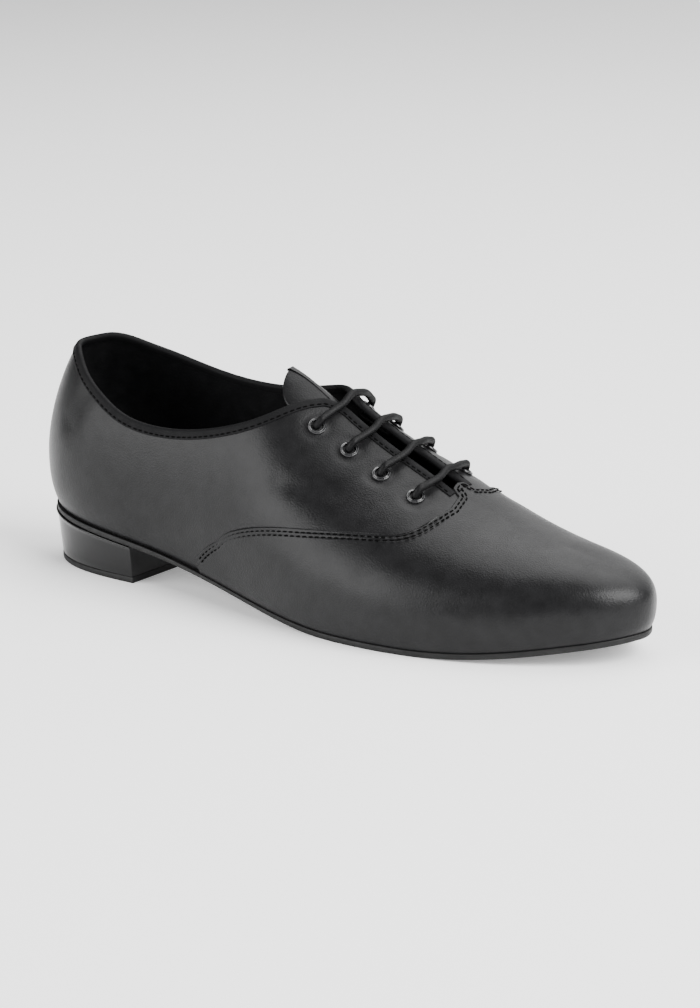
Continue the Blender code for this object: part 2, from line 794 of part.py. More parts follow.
def plate(name, margin, top, bottom, finish, count, end=None, sides=((1.0, 0.0), (0.0, 0.0))):
    """A solid on the outline between two heights that follow x, whole or cut across at an end.

    Each of its sides' levels is a share of the height and a distance inside the outline.
    """
    outer, inner = grown_outline(margin)
    first = outer[0, 0]
    last = outer[-1, 0] if end is None else end
    whole = end is None
    turn = np.linspace(0, math.pi if whole else math.pi / 2, count)
    stations = first + (last - first) * (1 - np.cos(turn)) / (2 if whole else 1)
    outer_y = np.interp(stations, outer[:, 0], outer[:, 1])
    inner_y = np.interp(stations, inner[:, 0], inner[:, 1])
    there_and_back = np.concatenate([stations, stations[::-1]])
    ring = np.stack([there_and_back, np.concatenate([outer_y, inner_y[::-1]])], 1)
    pull = ring - [(first + last) / 2, (outer_y.mean() + inner_y.mean()) / 2]
    pull /= np.linalg.norm(pull, axis=1, keepdims=True)
    grid = Grid()
    rows = []
    for share, inset in sides:
        flat = ring - pull * inset
        if not whole:
            flat[count - 1 : count + 1, 0] = last
        height = bottom(flat[:, 0]) + (top(flat[:, 0]) - bottom(flat[:, 0])) * share
        row = grid.row(np.concatenate([flat, height[:, None]], 1))
        row[-1] = row[0]
        if whole:
            row[count] = row[count - 1]
        rows.append(row)
    for one, other in zip(rows, rows[1:]):
        grid.strip(one, other, closed=True)
    for row in (rows[0], rows[-1]):
        grid.strip(row[:count], row[count:][::-1])
    return grid.build(name, finish)


def sole_top(x):
    return feather_height(x) - CLEARANCE


def sole_bottom(x):
    share = thickness_at(np.clip(x / LENGTH, 0, 1))
    return np.maximum(sole_top(x) - SOLE * share, 0)


def build_outsole(finish):
    return plate("outsole", SOLE_EDGE, sole_top, sole_bottom, finish, SOLE_STATIONS)


def build_insole(finish):
    def low(x):
        return sole_top(x) + CLEARANCE

    def high(x):
        return low(x) + INSOLE

    return plate("insole", -WALL - 3 * CLEARANCE, high, low, finish, SOLE_STATIONS)


def build_heel(finish):
    """The block under the seat, a little narrower at the floor, with a proud rim along its top."""

    def high(x):
        return sole_bottom(x) - CLEARANCE

    def low(x):
        return np.full(np.shape(x), TIP_HEIGHT + CLEARANCE)

    rim = HEEL_RIM_HEIGHT / (HEEL_RISE - TIP_HEIGHT)
    sides = ((1.0, -HEEL_RIM), (1 - rim, -HEEL_RIM), (1 - rim, 0.0), (0.0, HEEL_TAPER))
    return plate("heel", SOLE_EDGE, high, low, finish, HEEL_STATIONS, HEEL_LENGTH, sides)


def build_heel_tip(finish):
    def high(x):
        return np.full(np.shape(x), TIP_HEIGHT)

    def low(x):
        return np.zeros(np.shape(x))

    sides = ((1.0, HEEL_TAPER), (0.0, HEEL_TAPER))
    return plate("heel_tip", SOLE_EDGE, high, low, finish, HEEL_STATIONS, HEEL_LENGTH, sides)


def build_tongue(finish):
    rows = table_spline(TONGUE_ROWS)
    shares = np.array([row[0] for row in TONGUE_ROWS])
    shares = np.sort(np.concatenate([shares, (shares[3:] + shares[2:-1]) / 2]))
    steps = np.linspace(-1, 1, TONGUE_STATIONS)
    grid = Grid()
    sheets = []
    for drop in (0.0, TONGUE):
        sheet = []
        for share in shares:
            half, depth = rows(share)
            rib = float(rib_at(share))
            ribs = np.where(steps < 0, -rib, rib)
            distance = np.abs(steps) * half * BALL_WIDTH
            ups = np.array(
                [float(down_from(np.array([r]), np.ones(1), d)[0]) for r, d in zip(ribs, distance)]
            )
            offset = -depth * TONGUE_BED - drop
            points = skin(ribs, ups, offset)
            middle = len(steps) // 2
            points[middle] = crown_points(np.array([rib]), offset)[0]
            sheet.append(grid.row(points))
        sheets.append(sheet)
    for sheet in sheets:
        for one, other in zip(sheet, sheet[1:]):
            grid.strip(one, other)
    borders = []
    for sheet in sheets:
        right = [row[-1] for row in sheet]
        left = [row[0] for row in sheet]
        borders.append(sheet[0] + right[1:] + sheet[-1][::-1][1:] + left[::-1][1:-1])
    grid.strip(borders[0], borders[1], closed=True)
    return grid.build("tongue", finish)


def smooth_path(points, spacing):
    """Points at an even spacing along a smooth curve through the given ones."""
    points = np.array(points, float)
    chords = np.linalg.norm(np.diff(points, axis=0), axis=1)
    knots = np.concatenate([[0], np.cumsum(np.sqrt(chords))])
    curve = spline(knots, points)(np.linspace(0, knots[-1], 30 * len(points)))
    run = np.concatenate([[0], np.cumsum(np.linalg.norm(np.diff(curve, axis=0), axis=1))])
    even = np.linspace(0, run[-1], int(run[-1] / spacing) + 1)
    return np.stack([np.interp(even, run, curve[:, k]) for k in range(3)], 1)


def lace_route(places):
    """The lace from its hidden end by the top outer eyelet, down, and up again through four bars."""
    seat = LACE / 2 + EYELET_FLANGE + CLEARANCE
    close = LACE / 2 + TAPE_STEP + 2 * CLEARANCE
    rows = [[(rib, up) for _, rib, up in places[2 * i : 2 * i + 2]] for i in range(EYELET_COUNT)]

    def inside(rib, up, aside):
        """A point under the wall, this far down the rib from the eyelets' line."""
        rib = np.array([rib])
        up = down_from(rib, np.array([up]), aside)
        return skin(rib, up, -LACE_DEPTH - CLEARANCE)[0]

    def over_facing(row, side):
        """Points of the lace over one facing, up to its edge."""
        rib = rows[row][side][0]
        points = []
        for below, toe, *lifts in LACE_OVER:
            near = np.array([towards_toe(rib, toe * LACE)])
            up = down_from(near, edge_up(near), below * EYELET_INSET)
            points.append(skin(near, up, close + lifts[side] * LACE)[0])
        return points

    def out_of(row, side):
        """Points of the lace from inside one eyelet over its flange and its facing."""
        centre, normal = (np.array(part) for part in eyelet_frame(*rows[row][side]))
        over = over_facing(row, side)
        across = over[0] - centre
        across -= normal * (across @ normal)
        across /= np.linalg.norm(across)
        places = [(-LACE_DEPTH, 0.0)]
        places += [(height * LACE, toward * LACE) for height, toward in LACE_IN_BORE]
        places += [(seat + height * LACE, toward * LACE) for height, toward in LACE_ON_FLANGE]
        return [centre + normal * height + across * toward for height, toward in places] + over

    def crossing(row, side):
        """From inside one eyelet over the gap to inside the other."""
        middle = np.array([towards_toe(rows[row][1][0], BAR_TOE * LACE)])
        peak = crown_points(middle, close + BAR_LIFT * LACE)[0]
        return out_of(row, side) + [peak] + out_of(row, 1 - side)[::-1]

    outer = np.array([rows[row][0] for row in range(EYELET_COUNT)])
    down = spline(np.arange(EYELET_COUNT), outer)
    stations = np.linspace(LACE_START, EYELET_COUNT - 1 - LACE_START, 2 * EYELET_COUNT)
    route = [inside(*down(station), RUN_ASIDE * LACE) for station in stations]
    side = 0
    for row in range(EYELET_COUNT - 1, -1, -1):
        route += crossing(row, side)
        side = 1 - side
        if row:
            ends = np.array([rows[row][side], rows[row - 1][side]])
            route.append(inside(*ends.mean(0), 0.0))
    return route


def build_lace(finish, places):
    path = smooth_path(lace_route(places), LACE_SPACING)
    curve = bpy.data.curves.new("lace", "CURVE")
    curve.dimensions = "3D"
    curve.bevel_depth = LACE / 2
    curve.bevel_resolution = LACE_SIDES // 4
    curve.use_fill_caps = True
    line = curve.splines.new("POLY")
    line.points.add(len(path) - 1)
    for point, place in zip(line.points, path):
        point.co = (*place, 1.0)
    curve.materials.append(finish)
    made = bpy.data.objects.new("lace", curve)
    bpy.context.scene.collection.objects.link(made)
    return made


def stand_on_origin():
    """Parents every piece to an empty, so that the middle of the shoe's box is over the origin."""
    stand = bpy.data.objects.new("shoe", None)
    bpy.context.scene.collection.objects.link(stand)
    bpy.context.view_layer.update()
    low = np.full(2, np.inf)
    high = np.full(2, -np.inf)
    pieces = [thing for thing in bpy.data.objects if thing is not stand]
    graph = bpy.context.evaluated_depsgraph_get()
    for thing in pieces:
        if thing.hide_render:
            continue
        shape = thing.evaluated_get(graph)
        mesh = shape.to_mesh()
        flat = np.array([tuple(shape.matrix_world @ corner.co) for corner in mesh.vertices])[:, :2]
        shape.to_mesh_clear()
        low = np.minimum(low, flat.min(0))
        high = np.maximum(high, flat.max(0))
    for thing in pieces:
        thing.parent = stand
    middle = (low + high) / 2
    stand.location = (-middle[0], -middle[1], 0)


def main():
    clear_scene()
    leather = material("black leather", (0.020, 0.020, 0.022), 0.42)
    lining = material("black lining", (0.016, 0.016, 0.017), 0.7)
    edge = material("black sole", (0.022, 0.021, 0.021), 0.6)
    patent = material("black patent", (0.012, 0.012, 0.013), 0.12)
    rubber = material("black rubber", (0.018, 0.018, 0.018), 0.75)
    lacquer = material("gunmetal", (0.10, 0.10, 0.11), 0.25, 0.9)
    cord = material("black cord", (0.018, 0.018, 0.019), 0.65)
    places = eyelet_places()
    build_outsole(edge)
    build_heel(patent)
    build_heel_tip(rubber)
    build_insole(lining)
    build_upper(leather, places)
    build_tongue(leather)
    build_eyelets(lacquer, places)
    build_lace(cord, places)
    stand_on_origin()


main()
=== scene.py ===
"""The looks of a man's right ballroom dance shoe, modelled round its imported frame.

The toe points along +X, the outer side of the foot is -Y and the floor is z = 0, in metres.
The leather follows the same last as the solids: ribs that stand on the sole's outline and run up
to a crown line. A place on it is a rib number, negative on the outer side, and a share of the way
up that rib. The last's own x starts at the back of the heel, and SHIFT takes it to the frame.
"""

import math

import bmesh
import bpy
import numpy as np
from mathutils import Matrix, Vector


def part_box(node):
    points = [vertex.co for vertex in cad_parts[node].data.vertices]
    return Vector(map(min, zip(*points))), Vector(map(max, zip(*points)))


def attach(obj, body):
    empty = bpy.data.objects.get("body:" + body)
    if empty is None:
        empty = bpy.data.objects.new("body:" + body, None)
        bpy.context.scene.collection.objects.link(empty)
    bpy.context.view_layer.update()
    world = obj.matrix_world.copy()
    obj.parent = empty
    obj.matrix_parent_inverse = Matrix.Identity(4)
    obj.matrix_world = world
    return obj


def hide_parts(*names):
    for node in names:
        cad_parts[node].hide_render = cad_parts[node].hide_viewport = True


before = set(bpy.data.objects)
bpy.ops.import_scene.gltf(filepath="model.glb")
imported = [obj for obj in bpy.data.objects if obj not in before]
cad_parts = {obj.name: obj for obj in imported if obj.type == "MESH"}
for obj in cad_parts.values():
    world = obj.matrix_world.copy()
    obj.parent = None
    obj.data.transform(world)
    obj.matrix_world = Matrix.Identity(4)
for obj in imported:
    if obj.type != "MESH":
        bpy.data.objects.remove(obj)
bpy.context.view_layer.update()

# The last's sizes, as in the solids
LENGTH = 0.296
BALL_WIDTH = 0.100
INSTEP_HEIGHT = 0.100
BACK_HEIGHT = 0.099
HEEL_RISE = 0.0234
TOE_SPRING = 0.0096
BELLY = 0.0060
BELLY_HEIGHT = 0.0225
WALL = 0.0018
VAMP_STEP = 0.0008
TAPE_WIDTH = 0.0045
TAPE_STEP = 0.0005
GAP_TOP = 0.0064
GAP_BOTTOM = 0.0072
THROAT_END = 0.704
THROAT_START = 0.400
CORNER_RADIUS = 0.006
CLEARANCE = 0.0003
SOLE = 0.0025
SOLE_EDGE = 0.0014
HEEL_LENGTH = 0.0605
HEEL_TAPER = 0.0022
HEEL_RIM = 0.0005
HEEL_RIM_HEIGHT = 0.0013
TIP_HEIGHT = 0.0026
INSOLE = 0.0020
TONGUE = 0.0016
LACE = 0.0032
LACE_SLACK = 0.0010
EYELET_COUNT = 4
FIRST_EYELET = 0.504
LAST_EYELET = 0.666
EYELET_INSET = 0.0158
EYELET_BORE = LACE + 2 * LACE_SLACK
EYELET_WALL = 0.0004
EYELET_RIM = 0.00135
EYELET_FLANGE = 0.0008
LACE_DEPTH = WALL + LACE / 2 + 2 * CLEARANCE
TONGUE_BED = WALL + LACE + 5 * CLEARANCE

# Sole outline: place along the length, and reach to the outer and inner side as shares of BALL_WIDTH
OUTLINE = (
    # at, outer, inner
    (0.030, 0.165, 0.160),
    (0.085, 0.262, 0.258),
    (0.160, 0.300, 0.292),
    (0.260, 0.302, 0.270),
    (0.370, 0.330, 0.258),
    (0.480, 0.400, 0.305),
    (0.580, 0.462, 0.395),
    (0.670, 0.476, 0.462),
    (0.760, 0.440, 0.462),
    (0.850, 0.352, 0.400),
    (0.925, 0.235, 0.300),
    (0.975, 0.120, 0.190),
)
TOE_SWING = 0.035
# The crown line: height as a share of INSTEP_HEIGHT
CROWN = (
    # at, height
    (0.00, 1.160),
    (0.20, 1.180),
    (0.34, 1.165),
    (0.42, 1.090),
    (0.47, 0.990),
    (0.515, 0.888),
    (0.56, 0.805),
    (0.61, 0.728),
    (0.67, 0.642),
    (0.72, 0.563),
    (0.77, 0.492),
    (0.83, 0.435),
    (0.88, 0.405),
    (1.00, 0.250),
)
# The crown line seen from above: reach to the inner side as a share of BALL_WIDTH
RIDGE = (
    # at, inner
    (0.00, 0.000),
    (0.20, 0.000),
    (0.35, 0.012),
    (0.50, 0.030),
    (0.70, 0.030),
    (0.85, 0.030),
    (1.00, 0.035),
)
# The feather line, where upper and sole meet: shares of HEEL_RISE and of TOE_SPRING
FEATHER = (
    # at, heel, spring
    (0.00, 1.000, 0.00),
    (0.06, 0.930, 0.00),
    (0.13, 0.830, 0.00),
    (0.20, 0.714, 0.00),
    (0.27, 0.564, 0.00),
    (0.34, 0.385, 0.00),
    (0.42, 0.200, 0.00),
    (0.50, 0.068, 0.00),
    (0.57, 0.006, 0.00),
    (0.63, 0.000, 0.00),
    (0.73, 0.000, 0.00),
    (0.79, 0.000, 0.08),
    (0.86, 0.000, 0.30),
    (0.93, 0.000, 0.64),
    (1.00, 0.000, 1.00),
)
# Section shapes: belly and height as shares of BELLY and BELLY_HEIGHT, then the fullness of the
# shoulder and of the dome, and the slope of the roof at the crown line, each for outer and inner side
SECTIONS = (
    # at, belly out, belly in, height, shoulder out, shoulder in, dome out, dome in, roof out, roof in
    (0.00, 0.83, 0.83, 1.00, 0.35, 0.35, 0.55, 0.55, 0.00, 0.00),
    (0.10, 0.67, 0.67, 0.98, 0.42, 0.42, 0.55, 0.55, 0.00, 0.00),
    (0.25, 0.58, 0.83, 0.93, 0.52, 0.55, 0.50, 0.52, 0.05, 0.00),
    (0.38, 0.75, 1.00, 0.89, 0.54, 0.58, 0.45, 0.50, 0.20, 0.00),
    (0.50, 0.75, 1.00, 0.80, 0.54, 0.62, 0.42, 0.50, 0.50, 0.02),
    (0.60, 0.50, 0.67, 0.71, 0.52, 0.62, 0.42, 0.50, 0.52, 0.02),
    (0.70, 0.42, 0.50, 0.62, 0.54, 0.62, 0.45, 0.50, 0.32, 0.02),
    (0.80, 0.37, 0.42, 0.53, 0.58, 0.60, 0.55, 0.55, 0.05, 0.00),
    (0.90, 0.37, 0.37, 0.49, 0.64, 0.64, 0.64, 0.62, 0.00, 0.00),
    (1.00, 0.37, 0.37, 0.44, 0.70, 0.70, 0.70, 0.70, 0.00, 0.00),
)
# Each rib is a low curve up to this share of the way and a high curve above it
BREAK = 0.22
BELLY_OUT = 0.75
BELLY_START = 0.25
BELLY_END = 0.40
# The topline turns from the outer height to the inner one over this share of BALL_WIDTH
TOPLINE_BLEND = 0.1
# Where each rib springs from the crown line, and its turn from the toe in degrees
FAN = (
    # at, turn
    (0.872, 0),
    (0.868, 18),
    (0.855, 36),
    (0.830, 52),
    (0.790, 66),
    (0.735, 78),
    (0.670, 86),
    (0.600, 90),
    (0.530, 90),
    (0.460, 90),
    (0.390, 90),
    (0.320, 90),
    (0.250, 90),
    (0.190, 97),
    (0.150, 118),
    (0.130, 148),
    (0.124, 180),
)
LAST_RIB = len(FAN) - 1
# The top edge: height as a share of BACK_HEIGHT on each side
TOPLINE = (
    # at, outer, inner
    (0.000, 0.990, 0.990),
    (0.030, 0.993, 1.000),
    (0.065, 0.982, 1.012),
    (0.104, 0.906, 0.972),
    (0.144, 0.831, 0.934),
    (0.184, 0.770, 0.902),
    (0.244, 0.733, 0.867),
    (0.322, 0.747, 0.851),
    (0.377, 0.784, 0.860),
    (0.442, 0.858, 0.895),
    (0.473, 0.902, 0.912),
    (0.500, 0.905, 0.915),
    (0.560, 0.900, 0.910),
)
# The vamp's back edge: the rib's place on the crown line, and the share of the way up it
SEAM = (
    # at, up
    (0.7115, 0.860),
    (0.7061, 0.808),
    (0.6997, 0.745),
    (0.6903, 0.668),
    (0.6804, 0.618),
    (0.6594, 0.568),
    (0.6291, 0.527),
    (0.5956, 0.485),
    (0.5579, 0.437),
    (0.5205, 0.391),
    (0.4758, 0.337),
    (0.4266, 0.282),
    (0.3981, 0.245),
    (0.3768, 0.204),
    (0.3596, 0.161),
    (0.3451, 0.115),
    (0.3380, 0.088),
)
# Sole thickness as a share of SOLE
THICKNESS = (
    # at, share
    (0.00, 0.90),
    (0.20, 0.85),
    (0.32, 0.72),
    (0.45, 0.78),
    (0.57, 1.00),
    (0.63, 1.00),
    (1.00, 1.00),
)
# Tongue: half width as a share of BALL_WIDTH, depth under the quarters' skin as a share of TONGUE_BED
TONGUE_ROWS = (
    # at, half, depth
    (0.430, 0.130, 1.66),
    (0.434, 0.180, 1.60),
    (0.443, 0.210, 1.48),
    (0.470, 0.220, 1.23),
    (0.510, 0.220, 1.09),
    (0.570, 0.210, 1.07),
    (0.640, 0.190, 1.07),
    (0.680, 0.180, 1.04),
    (0.703, 0.175, 0.71),
    (0.722, 0.170, 0.45),
    (0.745, 0.160, 0.40),
    (0.770, 0.150, 0.40),
)
# The tongue's rounded end: its length as a share of LENGTH, how full it is, and its least width
TONGUE_CORNER = 0.024
TONGUE_ROUND = 2.5
TONGUE_TIP = 0.05
# How near the tongue's middle line both sides' normals are blended, as a share of its half width
TONGUE_BLEND = 0.12
# How the lace leaves an eyelet, in lace diameters: height over the skin inside the bore, then height
# over its seat on the flange, and the way over to the other side
LACE_IN_BORE = (
    # height, toward
    (-0.20, -0.04),
    (0.35, 0.00),
)
LACE_ON_FLANGE = (
    # height, toward
    (0.14, 0.72),
    (0.10, 1.30),
)
# The lace over a facing: the way below the edge as a share of EYELET_INSET, then in lace diameters
# the way towards the toe, as a tight lace slips down the slope, and the lift off the leather
LACE_OVER = (
    # below, toe, outer, inner
    (0.52, 0.55, 0.00, 0.15),
    (0.22, 0.95, 0.00, 0.20),
    (0.00, 1.10, 0.02, 0.15),
)
BAR_TOE = 1.10
BAR_LIFT = 0.05
PLAIT_RELIEF = 0.00022
# The hidden run down the outer facing: way aside in lace diameters, and its ends in eyelet rows
RUN_ASIDE = 1.7
LACE_START = 0.25

# The vamp's tab at the end of the throat: its length, half width and the softness of its sides
TAB = 0.0036
TAB_HALF = 0.0034
TAB_ROUND = 0.0008
# The way round the shoe there for the whole share up, and the way along for one rib
TAB_GIRTH = 0.075
TAB_RIB = 0.0184
# Ribs in front of the seam that are drawn along with the tab
TAB_RUN = 1.5
# The way along for one rib by the vamp's back edge
VAMP_RIB = 0.019
# Rows of points below the vamp's back edge, in millimetres
VAMP_ROWS = (5.2, 4.4, 3.8, 3.4, 3.1, 2.8, 2.5, 2.2, 1.9, 1.6, 1.3, 1.0, 0.7, 0.35, 0.0)
# Relief by the vamp's back edge in millimetres: the two grooves, the swell between them and the edge's
GROOVE_DEPTH = 0.15
GROOVE_WIDTH = 0.32
SWELL_HEIGHT = 0.05
SWELL_WIDTH = 0.5
EDGE_SWELL_WIDTH = 0.55
# Stitches: rows below the vamp's edge, pitch, then length, width and height of one, and its lift
SEAM_ROWS = (0.00125, 0.0029)
STITCH_PITCH = 0.0030
STITCH = (0.0021, 0.00072, 0.00055)
STITCH_LIFT = 0.00012
TAPE_STITCH_INSET = 0.0010
# Leather pressed in round an eyelet: depth in millimetres, then the trough's place, its width and
# the flange's own part in radii of the flange
PRESSED = 0.28
PRESSED_AT = 1.35
PRESSED_WIDTH = 0.45
PRESSED_CORE = 0.9
# Steps for slopes, and numbers that count as nothing
NUDGE = 1e-3
NOTHING = 1e-9
NO_AREA = 1e-15
SAME_RIB = 1e-6
MILLIMETRE = 0.001


def spline(places, values):
    """A natural cubic spline through the values, as a function of the place."""
    places = np.asarray(places, float)
    values = np.asarray(values, float)
    count = len(places)
    step = np.diff(places)
    system = np.eye(count)
    right = np.zeros_like(values)
    for i in range(1, count - 1):
        system[i, i - 1 : i + 2] = step[i - 1], 2 * (step[i - 1] + step[i]), step[i]
        right[i] = 6 * ((values[i + 1] - values[i]) / step[i] - (values[i] - values[i - 1]) / step[i - 1])
    bend = np.linalg.solve(system, right)

    def at(place):
        place = np.asarray(place, float)
        i = np.clip(np.searchsorted(places, place, side="right") - 1, 0, count - 2)
        after = place - places[i]
        before = places[i + 1] - place
        span = step[i]
        if values.ndim > 1:
            after, before, span = after[..., None], before[..., None], span[..., None]
        curve = (bend[i] * before**3 + bend[i + 1] * after**3) / (6 * span)
        line = (values[i] / span - bend[i] * span / 6) * before
        return curve + line + (values[i + 1] / span - bend[i + 1] * span / 6) * after

    return at


def table_spline(table):
    """A spline over a table whose first column is the place."""
    rows = np.array(table, float)
    return spline(rows[:, 0], rows[:, 1] if rows.shape[1] == 2 else rows[:, 1:])


def outline_ring(count):
    """The sole's outline as a closed ring of points, from the heel along the outer side."""
    rows = np.array(OUTLINE)
    outer = np.stack([rows[:, 0] * LENGTH, -rows[:, 1] * BALL_WIDTH], 1)
    inner = np.stack([rows[:, 0] * LENGTH, rows[:, 2] * BALL_WIDTH], 1)[::-1]
    ring = np.concatenate([[[0, 0]], outer, [[LENGTH, TOE_SWING * BALL_WIDTH]], inner])
    lap = 4
    loop = np.concatenate([ring[-lap:], ring, ring[: lap + 1]])
    chords = np.linalg.norm(np.diff(loop, axis=0), axis=1)
    knots = np.concatenate([[0], np.cumsum(np.sqrt(chords))])
    return spline(knots, loop)(np.linspace(knots[lap], knots[lap + len(ring)], count, endpoint=False))


RING = outline_ring(count=720)
crown_at = table_spline(CROWN)
ridge_at = table_spline(RIDGE)
feather_at = table_spline(FEATHER)
section_at = table_spline(SECTIONS)
thickness_at = table_spline(THICKNESS)
topline_at = table_spline(TOPLINE)
fan_at = spline(np.arange(len(FAN)), np.array(FAN, float))


def unit(vectors):
    return vectors / np.linalg.norm(vectors, axis=-1, keepdims=True)


def smooth(value, low, high):
    """0 below low, 1 above high, with a soft rise between."""
    share = np.clip((value - low) / (high - low), 0, 1)
    return share * share * (3 - 2 * share)


def swell(gap, width):
    """1 at no gap, falling off softly over a width in millimetres."""
    return np.exp(-((gap / (width * MILLIMETRE)) ** 2))


def run_along(points):
    """Distance travelled at each point of a line."""
    return np.concatenate([[0], np.cumsum(np.linalg.norm(np.diff(points, axis=0), axis=1))])


def even_run(points, spacing):
    """Distance travelled at each point of a line, and the same way cut into even steps."""
    run = run_along(points)
    return run, np.linspace(0, run[-1], int(run[-1] / spacing) + 1)


def feather_height(x):
    """Height of the feather line above the floor."""
    rise, spring = np.moveaxis(np.maximum(feather_at(np.clip(x / LENGTH, 0, 1)), 0), -1, 0)
    return SOLE + CLEARANCE + rise * HEEL_RISE + spring * TOE_SPRING


def ridge_y(x):
    return BALL_WIDTH * ridge_at(np.clip(x / LENGTH, 0, 1))


def reach(x, y, along, across):
    """Distance from (x, y) to the outline in the direction (along, across)."""
    edge = np.roll(RING, -1, axis=0) - RING
    x, y, along, across = (np.asarray(v, float)[..., None] for v in (x, y, along, across))
    cross = across * edge[:, 0] - along * edge[:, 1]
    cross = np.where(np.abs(cross) < NO_AREA, NO_AREA, cross)
    to_x = RING[:, 0] - x
    to_y = RING[:, 1] - y
    distance = (to_y * edge[:, 0] - to_x * edge[:, 1]) / cross
    share = (along * to_y - across * to_x) / cross
    hit = (share >= -NOTHING) & (share <= 1 + NOTHING) & (distance > 0)
    return np.where(hit, distance, np.inf).min(-1)


def bezier(share, points):
    weights = ((1 - share) ** 3, 3 * (1 - share) ** 2 * share, 3 * (1 - share) * share**2, share**3)
    return sum(weight * point for weight, point in zip(weights, points))


class Ribs:
    """Some ribs of the last, with their points at any share of the way up."""

    def __init__(self, rib):
        rib = np.asarray(rib, float)
        side = np.where(rib < 0, -1.0, 1.0)
        spring = fan_at(np.minimum(np.abs(rib), LAST_RIB))
        self.x = spring[..., 0] * LENGTH
        self.y = ridge_y(self.x)
        turn = np.radians(np.clip(spring[..., 1], 0, 180))
        self.along = np.cos(turn)
        self.across = side * np.sin(turn)
        self.foot = reach(self.x, self.y, self.along, self.across)
        foot_x = self.x + self.foot * self.along
        self.low = feather_height(foot_x)
        inner = 0.5 * (1 + side * np.clip(2 * np.abs(self.across), 0, 1))

        def mixed(row, first):
            return row[..., first] * (1 - inner) + row[..., first + 1] * inner

        shape = section_at(np.clip(foot_x / LENGTH, 0, 1))
        self.belly = BELLY * mixed(shape, 0)
        self.belly_height = BELLY_HEIGHT * shape[..., 2]
        self.shoulder = mixed(shape, 3)
        self.dome = mixed(shape, 5) * (self.foot + self.belly)
        self.top = crown_at(self.x / LENGTH) * INSTEP_HEIGHT
        nudge = 1e-4
        climb = crown_at(self.x / LENGTH + nudge) - crown_at(self.x / LENGTH - nudge)
        climb = climb * INSTEP_HEIGHT / (2 * nudge * LENGTH) * self.along
        self.slope = climb - mixed(section_at(self.x / LENGTH), 7) * np.abs(self.across)

    def at(self, up):
        up = np.asarray(up, float)

        def spread(value):
            return value[..., None] if up.ndim > self.x.ndim else value

        foot, belly, low, top = (spread(v) for v in (self.foot, self.belly, self.low, self.top))
        belly_height, dome = spread(self.belly_height), spread(self.dome)
        wide = foot + belly
        waist = low + belly_height
        lower = np.clip(up / BREAK, 0, 1)
        upper = np.clip((up - BREAK) / (1 - BREAK), 0, 1)
        low_out = bezier(lower, (foot, foot + BELLY_OUT * belly, wide, wide))
        start = low + BELLY_START * belly_height
        low_up = bezier(lower, (low, start, waist - BELLY_END * belly_height, waist))
        shoulder = waist + spread(self.shoulder) * (top - waist)
        high_out = bezier(upper, (wide, wide, dome, 0.0))
        high_up = bezier(upper, (waist, shoulder, top + spread(self.slope) * dome, top))
        out = np.where(up < BREAK, low_out, high_out)
        height = np.where(up < BREAK, low_up, high_up)
        x = spread(self.x) + out * spread(self.along)
        y = spread(self.y) + out * spread(self.across)
        return np.stack(np.broadcast_arrays(x, y, height), -1)


class Skin:
    """The last's surface over some ribs."""

    def __init__(self, rib):
        self.rib = np.asarray(rib, float)
        middle = np.clip(self.rib, 2 * NUDGE - LAST_RIB, LAST_RIB - 2 * NUDGE)
        self.ribs = Ribs(self.rib)
        self.middle = Ribs(middle)
        self.before = Ribs(middle - NUDGE)
        self.after = Ribs(middle + NUDGE)

    def slopes(self, up):
        """How a point moves for each unit of rib and of share up."""
        up = np.clip(up, NUDGE, 1 - 5 * NUDGE)
        over = (self.after.at(up) - self.before.at(up)) / (2 * NUDGE)
        rise = (self.middle.at(up + NUDGE) - self.middle.at(up - NUDGE)) / (2 * NUDGE)
        return over, rise

    def normal(self, up):
        return unit(np.cross(*self.slopes(up)))

    def at(self, up, offset=0.0):
        """Points this far outside the last."""
        return self.ribs.at(up) + self.normal(up) * np.asarray(offset, float)[..., None]


def slide(rib, up, direction, distance, steps=3):
    """The place on the last reached from (rib, up) by going this far in a direction along the surface."""
    for _ in range(steps):
        over, rise = Skin(rib).slopes(up)
        go = direction * distance / steps
        a, b, c = (np.sum(u * v, -1) for u, v in ((over, over), (over, rise), (rise, rise)))
        d, e = (np.sum(u * go, -1) for u in (over, rise))
        scale = a * c - b * b
        rib = rib + (c * d - b * e) / scale
        up = np.clip(up + (a * e - b * d) / scale, 0, 1)
    return rib, up


def rib_at(share):
    """Rib number of the rib that springs from this share of the length."""
    table = np.array(FAN, float)
    return np.interp(-np.asarray(share, float), -table[:, 0], np.arange(len(FAN)))


def towards_toe(rib, distance):
    """Rib number of the rib that springs this far nearer to the toe, on the same side."""
    return math.copysign(float(rib_at(fan_at(abs(rib))[0] + distance / LENGTH)), rib)


def half_gap(x):
    share = (x / LENGTH - FIRST_EYELET) / (THROAT_END - FIRST_EYELET)
    return 0.5 * (GAP_TOP + (GAP_BOTTOM - GAP_TOP) * np.clip(share, 0, 1))


def below_edge(point):
    """Positive below the top edge and outside the throat's gap, with the facing's corner rounded."""
    x, y, z = np.moveaxis(point, -1, 0)
    inner = 0.5 * (1 + np.clip((y - ridge_y(x)) / (TOPLINE_BLEND * BALL_WIDTH), -1, 1))
    height = topline_at(np.clip(x / LENGTH, 0, TOPLINE[-1][0]))
    under = BACK_HEIGHT * (height[..., 0] * (1 - inner) + height[..., 1] * inner) - z
    aside = np.where(x > THROAT_START * LENGTH, np.abs(y - ridge_y(x)) - half_gap(x), CORNER_RADIUS)
    corner = np.hypot(np.maximum(CORNER_RADIUS - under, 0), np.maximum(CORNER_RADIUS - aside, 0))
    near_corner = (under < CORNER_RADIUS) & (aside < CORNER_RADIUS)
    return np.where(near_corner, CORNER_RADIUS - corner, np.minimum(under, aside))


